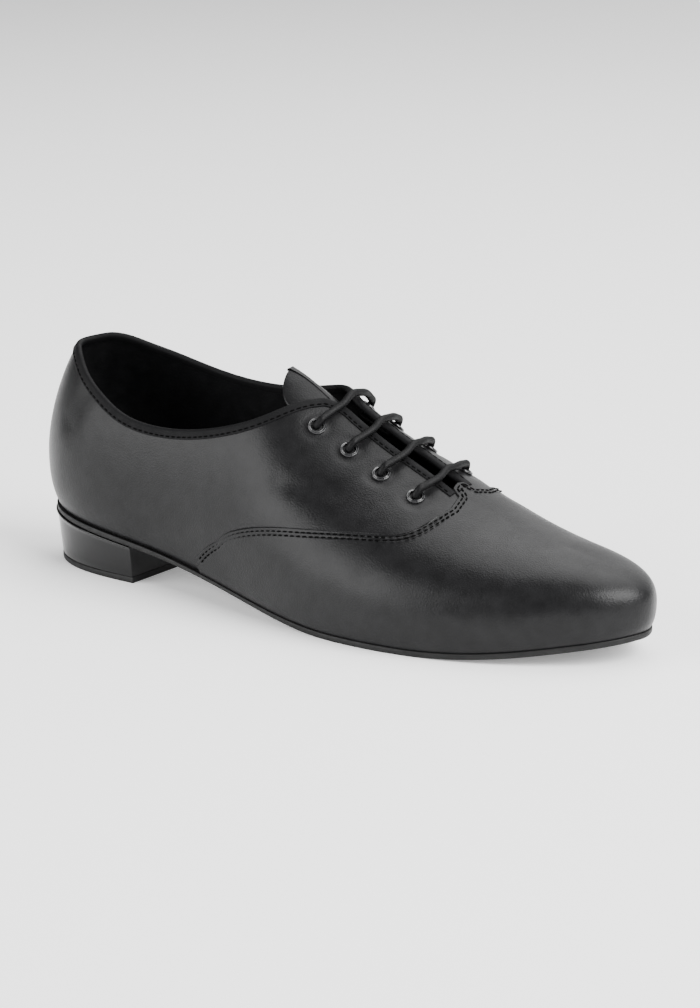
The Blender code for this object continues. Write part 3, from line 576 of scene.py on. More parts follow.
def edge_up(rib):
    """Share of the way up each rib at which the upper ends."""
    ribs = Ribs(rib)
    low = np.full(ribs.x.shape, BREAK)
    high = np.ones(ribs.x.shape)
    halvings = 40
    for _ in range(halvings):
        middle = (low + high) / 2
        inside = below_edge(ribs.at(middle)) > 0
        low = np.where(inside, middle, low)
        high = np.where(inside, high, middle)
    return np.where(np.abs(rib) <= rib_at(THROAT_END), 1.0, low)


def down_from(rib, up, distances):
    """Shares of the way up each rib at these distances down along it, a column for each distance."""
    step_count = 161
    shares = np.asarray(up, float)[:, None] * (1 - np.linspace(0, 1, step_count))
    points = Ribs(rib).at(shares)
    lengths = np.linalg.norm(np.diff(points, axis=1), axis=-1)
    lengths = np.concatenate([np.zeros((len(shares), 1)), np.cumsum(lengths, 1)], 1)
    return np.array([np.interp(distances, run, share) for run, share in zip(lengths, shares)])


def crown_normal(ribs):
    """The mean of both sides' normals on the crown line."""
    top = np.ones(len(ribs))
    return unit(Skin(ribs).normal(top) + Skin(-ribs).normal(top))


def crown_points(ribs, offset):
    """Crown points at an offset."""
    return Ribs(ribs).at(np.ones(len(ribs))) + crown_normal(ribs) * offset


def grown_outline(margin):
    """The outline moved outwards by the margin: points of the outer and of the inner edge, heel to toe."""
    edge = np.roll(RING, -1, axis=0) - np.roll(RING, 1, axis=0)
    normal = unit(np.stack([edge[:, 1], -edge[:, 0]], 1))
    ring = RING + normal * margin
    heel = int(ring[:, 0].argmin())
    ring = np.roll(ring, -heel, axis=0)
    toe = int(ring[:, 0].argmax())
    return ring[: toe + 1], np.concatenate([ring[toe:], ring[:1]])[::-1]


def frame_shift():
    """From the last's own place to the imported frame's, by the outsole's box."""
    low, high = (np.array(corner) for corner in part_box("outsole"))
    edge = np.concatenate(grown_outline(SOLE_EDGE))
    middle = (edge.min(0) + edge.max(0)) / 2
    return np.append((low[:2] + high[:2]) / 2 - middle, 0.0)


SHIFT = frame_shift()


class Grid:
    """Points in rows, with faces added between the rows."""

    def __init__(self):
        self.points = []
        self.faces = []

    def row(self, points):
        first = len(self.points)
        self.points.extend(np.asarray(points, float).reshape(-1, 3))
        return list(range(first, len(self.points)))

    def strip(self, one, other, closed=False):
        """Faces between two rows of point numbers, leaving out corners that are the same point."""
        count = len(one)
        for i in range(count if closed else count - 1):
            j = (i + 1) % count
            corners = []
            for corner in (one[i], one[j], other[j], other[i]):
                if corner not in corners:
                    corners.append(corner)
            if len(corners) > 2:
                self.faces.append(corners)

    def join(self, rows, closed=False):
        """Faces between each row and the next."""
        for one, other in zip(rows, rows[1:]):
            self.strip(one, other, closed)

    def build(self, name, finish, sharp=60):
        """The object on the frame, without the points that no face uses, turned outwards."""
        used = sorted({corner for face in self.faces for corner in face})
        number = {old: new for new, old in enumerate(used)}
        faces = [[number[corner] for corner in face] for face in self.faces]
        mesh = bpy.data.meshes.new(name)
        mesh.from_pydata((np.array(self.points)[used] + SHIFT).tolist(), [], faces)
        work = bmesh.new()
        work.from_mesh(mesh)
        bmesh.ops.recalc_face_normals(work, faces=work.faces)
        work.to_mesh(mesh)
        work.free()
        mesh.shade_smooth()
        mesh.set_sharp_from_angle(angle=math.radians(sharp))
        mesh.materials.append(finish)
        made = bpy.data.objects.new(name, mesh)
        bpy.context.scene.collection.objects.link(made)
        return made


def share_crown(row, ribs, limit):
    """Gives the crown points of each outer rib and its inner twin one number."""
    for i, rib in enumerate(ribs):
        if rib < 0 and abs(rib) <= limit + NOTHING:
            row[i] = row[int(np.argmin(np.abs(ribs + rib)))]


def eyelet_places():
    """Rib and share up of each eyelet, outer then inner, evenly spaced along the crown line."""
    step_count = 81
    x = np.linspace(FIRST_EYELET, LAST_EYELET, step_count) * LENGTH
    run = np.hypot(np.diff(x), np.diff(crown_at(x / LENGTH) * INSTEP_HEIGHT))
    run = np.concatenate([[0], np.cumsum(run)])
    stations = np.interp(np.linspace(0, run[-1], EYELET_COUNT), run, x)
    rows = []
    for rib in rib_at(stations / LENGTH):
        ribs = np.array([-rib, rib])
        up = down_from(ribs, edge_up(ribs), [EYELET_INSET])[:, 0]
        rows.append(list(zip(ribs, up)))
    return rows


EYELETS = eyelet_places()


def on_skin(rib, up):
    """Centre on the upper's skin, and the outward normal there."""
    here = Skin(np.array([rib]))
    up = np.array([up])
    return here.at(up)[0], here.normal(up)[0]


def seam_line():
    """Share up of the vamp's back edge over the rib number, and its first and last rib."""
    rows = np.array(SEAM)
    ribs = rib_at(rows[:, 0])
    return spline(ribs, rows[:, 1]), ribs[0], ribs[-1]


seam_up, SEAM_FRONT, SEAM_BACK = seam_line()


def tab_reach(rib, up):
    """Rib number with the vamp's tab drawn back into the throat, near the crown line."""
    aside = (1 - up) * TAB_GIRTH
    wave = smooth(TAB_HALF - aside, -TAB_ROUND, TAB_ROUND)
    back = smooth(np.abs(rib), SEAM_FRONT - TAB_RUN, SEAM_FRONT)
    step = TAB / TAB_RIB
    return rib + np.sign(rib) * wave * back * step


def seam_border(spacing):
    """Places along the vamp's back edge, from the outer tail over the crown to the inner tail."""
    side_count, cap_count = 400, 120
    side = np.linspace(SEAM_BACK, SEAM_FRONT, side_count)
    cap = np.linspace(SEAM[0][1], 1.0, cap_count)[1:]
    rib = np.concatenate([side, tab_reach(np.full(len(cap), SEAM_FRONT), cap)])
    up = np.concatenate([seam_up(side), cap])
    rib = np.concatenate([-rib, rib[::-1][1:]])
    up = np.concatenate([up, up[::-1][1:]])
    run, even = even_run(Ribs(rib).at(up), spacing)
    crossing = np.interp(even, run, np.arange(len(rib)))
    low = np.minimum(crossing.astype(int), len(rib) - 2)
    share = crossing - low
    same = np.sign(rib[low]) == np.sign(rib[low + 1])
    mixed = rib[low] * (1 - share) + rib[low + 1] * share
    return np.where(same, mixed, rib[low]), up[low] * (1 - share) + up[low + 1] * share


def edge_border(spacing):
    """Places along the upper's top edge, from the outer facing's foot round the heel to the inner one."""
    shy, count = 0.002, 2400
    half = np.linspace(rib_at(THROAT_END) + shy, LAST_RIB, count)
    rib = np.concatenate([-half, half[::-1][1:]])
    up = edge_up(rib)
    run, even = even_run(Ribs(rib).at(up), spacing)
    turn = np.interp(even, run, np.arange(len(rib)))
    travel = np.interp(turn, np.arange(len(rib)), np.concatenate([half, 2 * LAST_RIB - half[::-1][1:]]))
    rib = np.where(travel <= LAST_RIB, -travel, 2 * LAST_RIB - travel)
    return rib, np.interp(even, run, up)


def inward_from(rib, up, points):
    """Direction over the surface from each place of a border into the leather below."""
    along = unit(np.gradient(points, axis=0))
    normal = Skin(rib).normal(up)
    inward = unit(np.cross(normal, along))
    _, rise = Skin(rib).slopes(up)
    flip = np.sign(np.sum(inward * -rise, -1)).mean()
    return inward * np.sign(flip)


def distance_to(points, line):
    """Distance from each point to the nearest point of a dense line."""
    nearest = np.full(len(points), np.inf)
    part_length = 60
    for part in np.array_split(line, max(1, len(line) // part_length)):
        gaps = np.linalg.norm(points[:, None] - part[None], axis=-1)
        nearest = np.minimum(nearest, gaps.min(1))
    return nearest


# Soft troughs and ridges of the leather: ends as rib and share up, depth and width in millimetres
CREASES = (
    # rib, up, rib, up, depth, width
    (-9.6, 0.86, -10.4, 0.60, 0.75, 5.0),
    (-11.3, 0.80, -12.2, 0.55, 0.70, 6.0),
    (-13.2, 0.72, -14.2, 0.40, 0.55, 6.0),
    (-7.4, 0.62, -8.6, 0.50, 0.60, 5.0),
    (-5.6, 0.72, -6.2, 0.40, 0.50, 7.0),
    (9.8, 0.84, 10.6, 0.58, 0.75, 5.0),
    (11.6, 0.78, 12.4, 0.50, 0.70, 6.0),
    (5.4, 0.70, 6.3, 0.42, 0.50, 7.0),
    (-8.2, 0.30, -10.4, 0.22, -0.50, 7.0),
    (8.4, 0.34, 10.2, 0.24, -0.50, 7.0),
)


def crease_relief(points):
    """Height of the leather's soft troughs and ridges at each point."""
    relief = np.zeros(len(points))
    count = 24
    for rib, up, end_rib, end_up, depth, width in CREASES:
        line = Ribs(np.linspace(rib, end_rib, count)).at(np.linspace(up, end_up, count))
        relief -= depth * MILLIMETRE * swell(distance_to(points, line), width)
    return relief


def eyelet_relief(points):
    """The leather is pressed in a little round each eyelet."""
    relief = np.zeros(len(points))
    for row in EYELETS:
        for rib, up in row:
            centre, _ = on_skin(rib, up)
            gap = np.linalg.norm(points - centre, axis=1) / (EYELET_BORE / 2 + EYELET_RIM)
            trough = np.exp(-((gap - PRESSED_AT) / PRESSED_WIDTH) ** 2)
            relief -= PRESSED * MILLIMETRE * (trough - np.exp(-((gap / PRESSED_CORE) ** 4)))
    return relief


def quarter_relief(points):
    return crease_relief(points) + eyelet_relief(points)


def build_quarters(finish):
    """Both quarters and the ground under the vamp as one wall, open below, at the collar and the throat."""
    throat = rib_at(THROAT_END)
    front_step, shy, open_count = 0.08, 0.03, 170
    half = np.arange(0, throat - shy, front_step)
    half = np.concatenate([half, np.linspace(throat, LAST_RIB, open_count)])
    ribs = np.concatenate([-half[:0:-1], half[:-1]])
    open_rib = np.abs(ribs) > throat + SAME_RIB
    here = Skin(ribs)
    edge = edge_up(ribs)
    under_binding = 0.9 * MILLIMETRE
    top = np.where(open_rib, down_from(ribs, edge, [under_binding])[:, 0], 1.0)
    grid = Grid()

    def sheet(count, offset, relief):
        """Rows of point numbers of the outer or the inner side of the wall."""
        up = top[:, None] * np.linspace(0, 1, count)
        points = here.at(up, offset)
        if relief:
            flat = points.reshape(-1, 3)
            points = points + here.normal(up) * quarter_relief(flat).reshape(points.shape[:2])[..., None]
        points[:, -1] = np.where(open_rib[:, None], points[:, -1], crown_points(ribs, offset))
        rows = [grid.row(points[:, i]) for i in range(count)]
        share_crown(rows[-1], ribs, throat)
        return rows

    outer = sheet(count=84, offset=0.0, relief=True)
    inner = sheet(count=30, offset=-WALL, relief=False)
    grid.join(outer, closed=True)
    grid.join(inner, closed=True)
    grid.strip(outer[0], inner[0], closed=True)
    rim = [i for i in range(len(ribs)) if abs(ribs[i]) >= throat - SAME_RIB]
    rim = [i for i in rim if ribs[i] > 0] + [i for i in rim if ribs[i] < 0]
    grid.strip([outer[-1][i] for i in rim], [inner[-1][i] for i in rim], closed=True)
    return grid.build("quarters", finish)


def build_vamp(finish):
    """The vamp: a thin layer over the quarters with a folded back edge and two stitch grooves."""
    near_edge = np.array(VAMP_ROWS) * MILLIMETRE
    fine = SEAM_FRONT - near_edge / VAMP_RIB
    front_step, shy, side_count, body_count, cap_count = 0.07, 0.05, 110, 44, 22
    half = np.concatenate([np.arange(0, fine[0] - shy, front_step), fine])
    half = np.concatenate([half, np.linspace(SEAM_FRONT, SEAM_BACK, side_count)[1:]])
    ribs = np.concatenate([-half[:0:-1], half])
    seam_share = seam_up(np.clip(np.abs(ribs), SEAM_FRONT, SEAM_BACK))
    limit = np.where(np.abs(ribs) <= SEAM_FRONT, SEAM[0][1], seam_share)
    below = down_from(ribs, limit, near_edge)
    body = below[:, :1] * np.linspace(0, 1, body_count)[:-1]
    up = np.concatenate([body, below], 1)
    centre = np.flatnonzero(np.abs(ribs) <= SEAM_FRONT + NOTHING)
    left, right = centre[0], centre[-1]
    cap_up = np.linspace(SEAM[0][1], 1.0, cap_count)[1:]
    cap_ribs = tab_reach(np.repeat(ribs[centre][:, None], len(cap_up), 1), cap_up)
    border_rib, border_up = seam_border(0.4 * MILLIMETRE)
    border = Ribs(border_rib).at(border_up)

    def relief(points):
        gap = distance_to(points, border)
        grooves = sum(swell(gap - row, GROOVE_WIDTH) for row in SEAM_ROWS)
        between = swell(gap - sum(SEAM_ROWS) / 2, SWELL_WIDTH)
        edge = swell(gap, EDGE_SWELL_WIDTH)
        height = -GROOVE_DEPTH * grooves + SWELL_HEIGHT * between + SWELL_HEIGHT * edge
        return height * MILLIMETRE + crease_relief(points)

    def lifted(rib, up, offset, shaped):
        here = Skin(rib)
        points = here.at(up, offset)
        if shaped:
            flat = points.reshape(-1, 3)
            points = points + here.normal(up) * relief(flat).reshape(points.shape[:-1])[..., None]
        return points

    grid = Grid()
    borders = []
    sunk = -0.1 * MILLIMETRE
    for offset, shaped in ((VAMP_STEP, True), (sunk, False)):
        points = lifted(ribs, up, offset, shaped)
        rows = [grid.row(points[:, i]) for i in range(up.shape[1])]
        cap = [[rows[-1][i] for i in centre]]
        for i, share in enumerate(cap_up[:-1]):
            level_up = np.full(len(centre), share)
            cap.append(grid.row(lifted(cap_ribs[:, i], level_up, offset, shaped)))
        crown = grid.row(crown_points(cap_ribs[:, -1], offset))
        for i in range(len(crown) // 2):
            crown[i] = crown[len(crown) - 1 - i]
        cap.append(crown)
        grid.join(rows)
        grid.join(cap)
        over = rows[-1][: left + 1] + [row[0] for row in cap[1:]]
        back = [row[-1] for row in cap[::-1][1:]] + rows[-1][right + 1 :]
        start = [row[0] for row in rows[:-1]]
        end = [row[-1] for row in rows[:-1]][::-1]
        borders.append((over + back, end + rows[0][::-1][1:-1] + start))
    edge_rib = np.concatenate([ribs[: left + 1], cap_ribs[0], cap_ribs[-1][::-1][1:], ribs[right:]])
    edge_share = np.concatenate([limit[: left + 1], cap_up, cap_up[::-1][1:], limit[right:]])
    points = Ribs(edge_rib).at(edge_share)
    normal = Skin(edge_rib).normal(edge_share)
    outward = -inward_from(edge_rib, edge_share, points)
    folded = [borders[0][0]]
    bulge = 0.7
    for turn in np.radians((25, 50, 75, 100)):
        fold = points + outward * VAMP_STEP * bulge * math.sin(turn)
        folded.append(grid.row(fold + normal * VAMP_STEP * math.cos(turn)))
    folded.append(borders[1][0])
    grid.join(folded)
    ends = [row[-1] for row in folded]
    starts = [row[0] for row in folded]
    (_, top_rest), (_, low_rest) = borders
    grid.strip([ends[0]] + top_rest + [starts[0]], [ends[-1]] + low_rest + [starts[-1]])
    grid.faces += [ends, starts]
    return grid.build("vamp", finish)


def build_binding(finish):
    """The soft strip folded over the collar's and the facings' edge, with a cut lower border."""
    rib, up = edge_border(0.55 * MILLIMETRE)
    points = Ribs(rib).at(up)
    inward = inward_from(rib, up, points)
    radius = WALL / 2 + TAPE_STEP

    def at(distance, offset):
        here_rib, here_up = slide(rib, up, inward, distance)
        return Skin(here_rib).at(here_up, offset)

    outside = [
        # distance below the edge, height over the skin
        (TAPE_WIDTH, -0.1 * MILLIMETRE),
        (TAPE_WIDTH, 0.55 * TAPE_STEP),
        (TAPE_WIDTH - 0.12 * MILLIMETRE, 0.92 * TAPE_STEP),
        (TAPE_WIDTH - 0.45 * MILLIMETRE, 1.05 * TAPE_STEP),
        (TAPE_WIDTH - TAPE_STITCH_INSET, 0.80 * TAPE_STEP),
        (TAPE_WIDTH - 1.5 * MILLIMETRE, 1.10 * TAPE_STEP),
        (TAPE_WIDTH - 2.4 * MILLIMETRE, 1.15 * TAPE_STEP),
    ]
    rows = [at(distance, height) for distance, height in outside]
    centre_rib, centre_up = slide(rib, up, inward, radius)
    centre_skin = Skin(centre_rib)
    centre = centre_skin.at(centre_up, -WALL / 2)
    facing = centre_skin.normal(centre_up)
    fold_count = 9
    for turn in np.linspace(0, math.pi, fold_count):
        rows.append(centre + radius * (facing * math.cos(turn) - inward * math.sin(turn)))
    inside = [
        # distance below the edge in millimetres, height over the lining as a share of TAPE_STEP
        (2.6, 0.9),
        (3.6, 0.8),
        (3.8, -0.1),
    ]
    rows += [at(distance * MILLIMETRE, -WALL - height * TAPE_STEP) for distance, height in inside]
    grid = Grid()
    numbers = [grid.row(row) for row in rows]
    grid.join(numbers + numbers[:1])
    for end in (0, -1):
        grid.faces.append([row[end] for row in numbers])
    return grid.build("binding", finish)


def stitch_shape():
    """Points and faces of one stitch: a small capsule along X, one unit long and thick."""
    rings, sides, fullness = 6, 8, 0.6
    points = [(-0.5, 0.0, 0.0)]
    for i in range(1, rings):
        turn = math.pi * i / rings
        for j in range(sides):
            across = 2 * math.pi * j / sides
            wide = 0.5 * math.sin(turn) ** fullness
            points.append((-0.5 * math.cos(turn), wide * math.cos(across), wide * math.sin(across)))
    points.append((0.5, 0.0, 0.0))
    faces = [(0, 1 + (j + 1) % sides, 1 + j) for j in range(sides)]
    for i in range(rings - 2):
        first = 1 + i * sides
        for j in range(sides):
            k = (j + 1) % sides
            faces.append((first + j, first + k, first + sides + k, first + sides + j))
    last = len(points) - 1
    faces += [(last - sides + j, last - sides + (j + 1) % sides, last) for j in range(sides)]
    return np.array(points), faces


def build_stitches(name, lines, finish):
    """Stitches along lines of (points, along, normal), as one joined mesh."""
    shape, shape_faces = stitch_shape()
    grid = Grid()
    for points, along, normal in lines:
        run = run_along(points)
        for place in np.arange(STITCH_PITCH, run[-1] - STITCH_PITCH, STITCH_PITCH):
            i = int(np.searchsorted(run, place))
            forward = unit(along[i])
            out = unit(normal[i] - forward * (normal[i] @ forward))
            over = np.cross(out, forward)
            local = shape * STITCH
            first = len(grid.points)
            grid.row(points[i] + local[:, :1] * forward + local[:, 1:2] * over + local[:, 2:] * out)
            grid.faces += [[first + corner for corner in face] for face in shape_faces]
    return grid.build(name, finish)


def stitch_line(rib, up, inward, distance, offset):
    """A stitch line at a distance from a border: its points, directions and normals."""
    new_rib, new_up = slide(rib, up, inward, distance)
    here = Skin(new_rib)
    points = here.at(new_up, offset)
    return points, np.gradient(points, axis=0), here.normal(new_up)


def build_all_stitches(finish):
    spacing = 0.3 * MILLIMETRE
    rib, up = seam_border(spacing)
    inward = inward_from(rib, up, Ribs(rib).at(up))
    lines = [stitch_line(rib, up, inward, row, VAMP_STEP + STITCH_LIFT) for row in SEAM_ROWS]
    vamp = build_stitches("vamp_stitches", lines, finish)
    rib, up = edge_border(spacing)
    inward = inward_from(rib, up, Ribs(rib).at(up))
    line = stitch_line(rib, up, inward, TAPE_WIDTH - TAPE_STITCH_INSET, TAPE_STEP)
    binding = build_stitches("binding_stitches", [line], finish)
    return vamp, binding


def build_tongue(finish):
    """The tongue: a plain leather strip with rounded edges, lofted from rows across it."""
    rows = table_spline(TONGUE_ROWS)
    first, last = TONGUE_ROWS[0][0], TONGUE_ROWS[-1][0]
    row_count, crowding, column_count = 90, 1.6, 41
    shares = first + (last - first) * np.linspace(0, 1, row_count) ** crowding
    steps = np.linspace(-1, 1, column_count)
    blend = np.exp(-((steps / TONGUE_BLEND) ** 2))[:, None]
    half_thick = TONGUE / 2
    tip_thick, tip_gain, tip_rows = 0.55, 0.45, 3
    rounding = np.radians((40, 90, 140))
    grid = Grid()
    loops = []
    for k, share in enumerate(shares):
        depth = rows(share)[1]
        into = min((share - first) / TONGUE_CORNER, 1.0)
        narrowed = (1 - (1 - into) ** TONGUE_ROUND) ** (1 / TONGUE_ROUND)
        half = rows(max(share, first + TONGUE_CORNER / 2))[0] * max(narrowed, TONGUE_TIP)
        rib = float(rib_at(share))
        width = half * BALL_WIDTH
        distance = np.abs(steps) * (width - half_thick)
        up = down_from(np.array([-rib, rib]), np.ones(2), distance)
        ribs = np.where(steps < 0, -rib, rib)
        ups = np.where(steps < 0, up[0], up[1])
        here = Skin(ribs)
        middle = -depth * TONGUE_BED - half_thick
        normal = here.normal(ups)
        centre = here.at(ups, middle)
        crown = np.array([rib])
        normal = unit(normal * (1 - blend) + crown_normal(crown) * blend)
        centre[column_count // 2] = crown_points(crown, middle)[0]
        outward = unit(np.gradient(centre, axis=0))
        thick = half_thick * (tip_thick + tip_gain * smooth(k, 0, tip_rows))
        top = list(centre + normal * thick)
        low = list((centre - normal * thick)[::-1])
        right = [centre[-1] + outward[-1] * thick * math.sin(turn) + normal[-1] * thick * math.cos(turn)
                 for turn in rounding]
        left = [centre[0] - outward[0] * thick * math.sin(turn) - normal[0] * thick * math.cos(turn)
                for turn in rounding]
        loops.append(grid.row(top + right + low + left))
    grid.join(loops, closed=True)
    count = column_count
    for loop in (loops[0], loops[-1]):
        grid.strip(loop[:count], loop[count + 3 : 2 * count + 3][::-1])
        grid.faces.append(loop[count - 1 : count + 4])
        grid.faces.append(loop[2 * count + 2 :] + loop[:1])
    return grid.build("tongue_leather", finish)


def plate(name, finish, margin, top, bottom, sides, count, end=None, sharp=40):
    """A solid on the outline between two heights that follow x, whole or cut across at an end.

    Its sides are rows of a share of the height and an inset.
    """
    outer, inner = grown_outline(margin)
    first = outer[0, 0]
    last = outer[-1, 0] if end is None else end
    whole = end is None
    turn = np.linspace(0, math.pi if whole else math.pi / 2, count)
    stations = first + (last - first) * (1 - np.cos(turn)) / (2 if whole else 1)
    outer_y = np.interp(stations, outer[:, 0], outer[:, 1])
    inner_y = np.interp(stations, inner[:, 0], inner[:, 1])
    around = np.concatenate([outer_y, inner_y[::-1]])
    ring = np.stack([np.concatenate([stations, stations[::-1]]), around], 1)
    pull = unit(ring - [(first + last) / 2, (outer_y.mean() + inner_y.mean()) / 2])
    grid = Grid()
    rows = []
    for share, inset in sides:
        flat = ring - pull * inset
        if not whole:
            flat[count - 1 : count + 1, 0] = last
        height = bottom(flat[:, 0]) + (top(flat[:, 0]) - bottom(flat[:, 0])) * share
        row = grid.row(np.concatenate([flat, height[:, None]], 1))
        row[-1] = row[0]
        if whole:
            row[count] = row[count - 1]
        rows.append(row)
    grid.join(rows, closed=True)
    for row in (rows[0], rows[-1]):
        grid.strip(row[:count], row[count:][::-1])
    return grid.build(name, finish, sharp=sharp)


def level(height):
    """A flat height, as a function of x."""
    return lambda x: np.full(np.shape(x), height)


def sole_top(x):
    return feather_height(x) - CLEARANCE


def sole_bottom(x):
    share = thickness_at(np.clip(x / LENGTH, 0, 1))
    return np.maximum(sole_top(x) - SOLE * share, 0)


def build_outsole(finish):
    edge = 0.3 * MILLIMETRE
    sides = [(1.0, edge), (0.96, 0.4 * edge), (0.88, 0.0)]
    sides += [(0.30, 0.0), (0.12, 0.3 * edge), (0.0, 1.2 * edge)]
    return plate("sole_leather", finish, SOLE_EDGE, sole_top, sole_bottom, sides, count=240)


def build_insole(finish):
    def low(x):
        return sole_top(x) + CLEARANCE

    def high(x):
        return low(x) + INSOLE

    edge = 0.6 * MILLIMETRE
    sides = ((1.0, edge), (0.85, 0.3 * edge), (0.6, 0.0), (0.0, 0.0))
    return plate("sock", finish, -WALL - 3 * CLEARANCE, high, low, sides, count=200)


def build_heel(finish):
    """The block under the seat in its glossy cover, with a proud rim along its top."""

    def high(x):
        return sole_bottom(x) - CLEARANCE

    rim = HEEL_RIM_HEIGHT / (HEEL_RISE - TIP_HEIGHT)
    sides = [(1.0, 0.0), (0.994, -0.7 * HEEL_RIM), (0.98, -HEEL_RIM), (1 - 0.7 * rim, -HEEL_RIM)]
    sides += [(1 - rim, -0.4 * HEEL_RIM), (1 - 1.15 * rim, 0.0)]
    sides += [(share, HEEL_TAPER * (1 - share)) for share in np.linspace(0.85, 0.02, 8)]
    sides.append((0.0, HEEL_TAPER + 0.15 * MILLIMETRE))
    low = level(TIP_HEIGHT + CLEARANCE)
    return plate("heel_cover", finish, SOLE_EDGE, high, low, sides, 90, end=HEEL_LENGTH, sharp=50)


def build_heel_tip(finish):
    edge = 0.25 * MILLIMETRE
    sides = [(1.0, HEEL_TAPER + edge), (0.9, HEEL_TAPER), (0.12, HEEL_TAPER), (0.0, HEEL_TAPER + edge)]
    high, low = level(TIP_HEIGHT), level(0.0)
    return plate("top_piece", finish, SOLE_EDGE, high, low, sides, 90, end=HEEL_LENGTH, sharp=50)


# An eyelet's face: the way out from its bore as a share of EYELET_RIM, and the height in millimetres
EYELET_FACE = (
    # from the bore, height over its seat
    (0.00, 0.30),
    (0.02, 0.55),
    (0.09, 0.72),
    (0.20, 0.79),
    (0.31, 0.72),
    (0.40, 0.52),
    (0.49, 0.44),
    (0.60, 0.52),
    (0.72, 0.60),
    (0.84, 0.54),
    (0.94, 0.34),
    (1.00, 0.06),
    (0.98, -0.25),
)


def build_eyelet(name, rib, up, finish):
    """An eyelet turned round its bore: a rolled flange with a groove, and a tube through the wall."""
    bore = EYELET_BORE / 2
    tail, neck = -WALL - CLEARANCE, -0.05 * MILLIMETRE
    profile = [(bore, tail)]
    profile += [(bore + at * EYELET_RIM, CLEARANCE + height * MILLIMETRE) for at, height in EYELET_FACE]
    profile += [(bore + EYELET_WALL, neck), (bore + EYELET_WALL, tail)]
    centre, normal = on_skin(rib, up)
    turn = np.array(Vector(normal).to_track_quat("Z", "Y").to_matrix())
    grid = Grid()
    sides = 56
    rows = []
    for i in range(sides):
        angle = 2 * math.pi * i / sides
        local = np.array([(r * math.cos(angle), r * math.sin(angle), h) for r, h in profile])
        rows.append(grid.row(local @ turn.T + centre))
    grid.join(rows + rows[:1], closed=True)
    return grid.build(name, finish)


def smooth_path(points, spacing):
    """Points at an even spacing along a smooth curve through the given ones."""
    points = np.array(points, float)
    chords = np.linalg.norm(np.diff(points, axis=0), axis=1)
    knots = np.concatenate([[0], np.cumsum(np.sqrt(chords))])
    fine = 60
    curve = spline(knots, points)(np.linspace(0, knots[-1], fine * len(points)))
    run, even = even_run(curve, spacing)
    return np.stack([np.interp(even, run, curve[:, k]) for k in range(3)], 1)


def lace_route():
    """The lace from its hidden end by the top outer eyelet, down, and up again through four bars."""
    seat = LACE / 2 + EYELET_FLANGE + CLEARANCE
    close = LACE / 2 + TAPE_STEP + 2 * CLEARANCE

    def inside(rib, up, aside):
        rib = np.array([rib])
        up = down_from(rib, np.array([up]), [aside])[:, 0]
        return Skin(rib).at(up, -LACE_DEPTH - CLEARANCE)[0]

    def over_facing(row, side):
        rib = EYELETS[row][side][0]
        points = []
        for below, toe, *lifts in LACE_OVER:
            near = np.array([towards_toe(rib, toe * LACE)])
            up = down_from(near, edge_up(near), [below * EYELET_INSET])[:, 0]
            points.append(Skin(near).at(up, close + lifts[side] * LACE)[0])
        return points

    def out_of(row, side):
        centre, normal = on_skin(*EYELETS[row][side])
        over = over_facing(row, side)
        across = over[0] - centre
        across = unit(across - normal * (across @ normal))
        places = [(-LACE_DEPTH, 0.0)]
        places += [(height * LACE, toward * LACE) for height, toward in LACE_IN_BORE]
        places += [(seat + height * LACE, toward * LACE) for height, toward in LACE_ON_FLANGE]
        return [centre + normal * height + across * toward for height, toward in places] + over

    def crossing(row, side):
        middle = np.array([towards_toe(EYELETS[row][1][0], BAR_TOE * LACE)])
        peak = crown_points(middle, close + BAR_LIFT * LACE)[0]
        return out_of(row, side) + [peak] + out_of(row, 1 - side)[::-1]

    outer = np.array([EYELETS[row][0] for row in range(EYELET_COUNT)])
    down = spline(np.arange(EYELET_COUNT), outer)
    stations = np.linspace(LACE_START, EYELET_COUNT - 1 - LACE_START, 2 * EYELET_COUNT)
    route = [inside(*down(station), RUN_ASIDE * LACE) for station in stations]
    side = 0
    for row in range(EYELET_COUNT - 1, -1, -1):
        route += crossing(row, side)
        side = 1 - side
        if row:
            ends = np.array([EYELETS[row][side], EYELETS[row - 1][side]])
            route.append(inside(*ends.mean(0), 0.0))
    return route


def build_lace(finish):
    """The waxed round lace, with its plaits as relief on a tube."""
    spacing = 0.26 * MILLIMETRE
    path = smooth_path(lace_route(), spacing)
    along = unit(np.gradient(path, axis=0))
    out = unit(np.cross(along[0], [0.3, 0.2, 1.0]))
    sides, plaits, plait_length = 32, 8, 2.4 * MILLIMETRE
    # the plaits' own mean height, and the rounded ends: their first share and its gain for each row
    mean_height, end_share, end_gain = 0.8, 0.45, 0.14
    angle = np.arange(sides) * 2 * math.pi / sides
    grid = Grid()
    rows = []
    for i, (point, forward, travelled) in enumerate(zip(path, along, run_along(path))):
        out = unit(out - forward * (out @ forward))
        over = np.cross(forward, out)
        phase = 2 * math.pi * travelled / plait_length
        one = np.cos(plaits / 2 * angle + phase)
        other = np.cos(plaits / 2 * angle - phase)
        relief = PLAIT_RELIEF * (np.maximum(np.abs(one), np.abs(other)) ** 2 - mean_height)
        end = min(i, len(path) - 1 - i)
        radius = (LACE / 2 + relief) * min(1.0, end_share + end_gain * end)
        aside = (np.cos(angle) * radius)[:, None] * out
        rows.append(grid.row(point + aside + (np.sin(angle) * radius)[:, None] * over))
    grid.join(rows, closed=True)
    grid.faces += [rows[0], rows[-1]]
    return grid.build("braided_lace", finish)


# Where nearly all values of a noise lie
NOISE_RANGE = (0.3, 0.7)


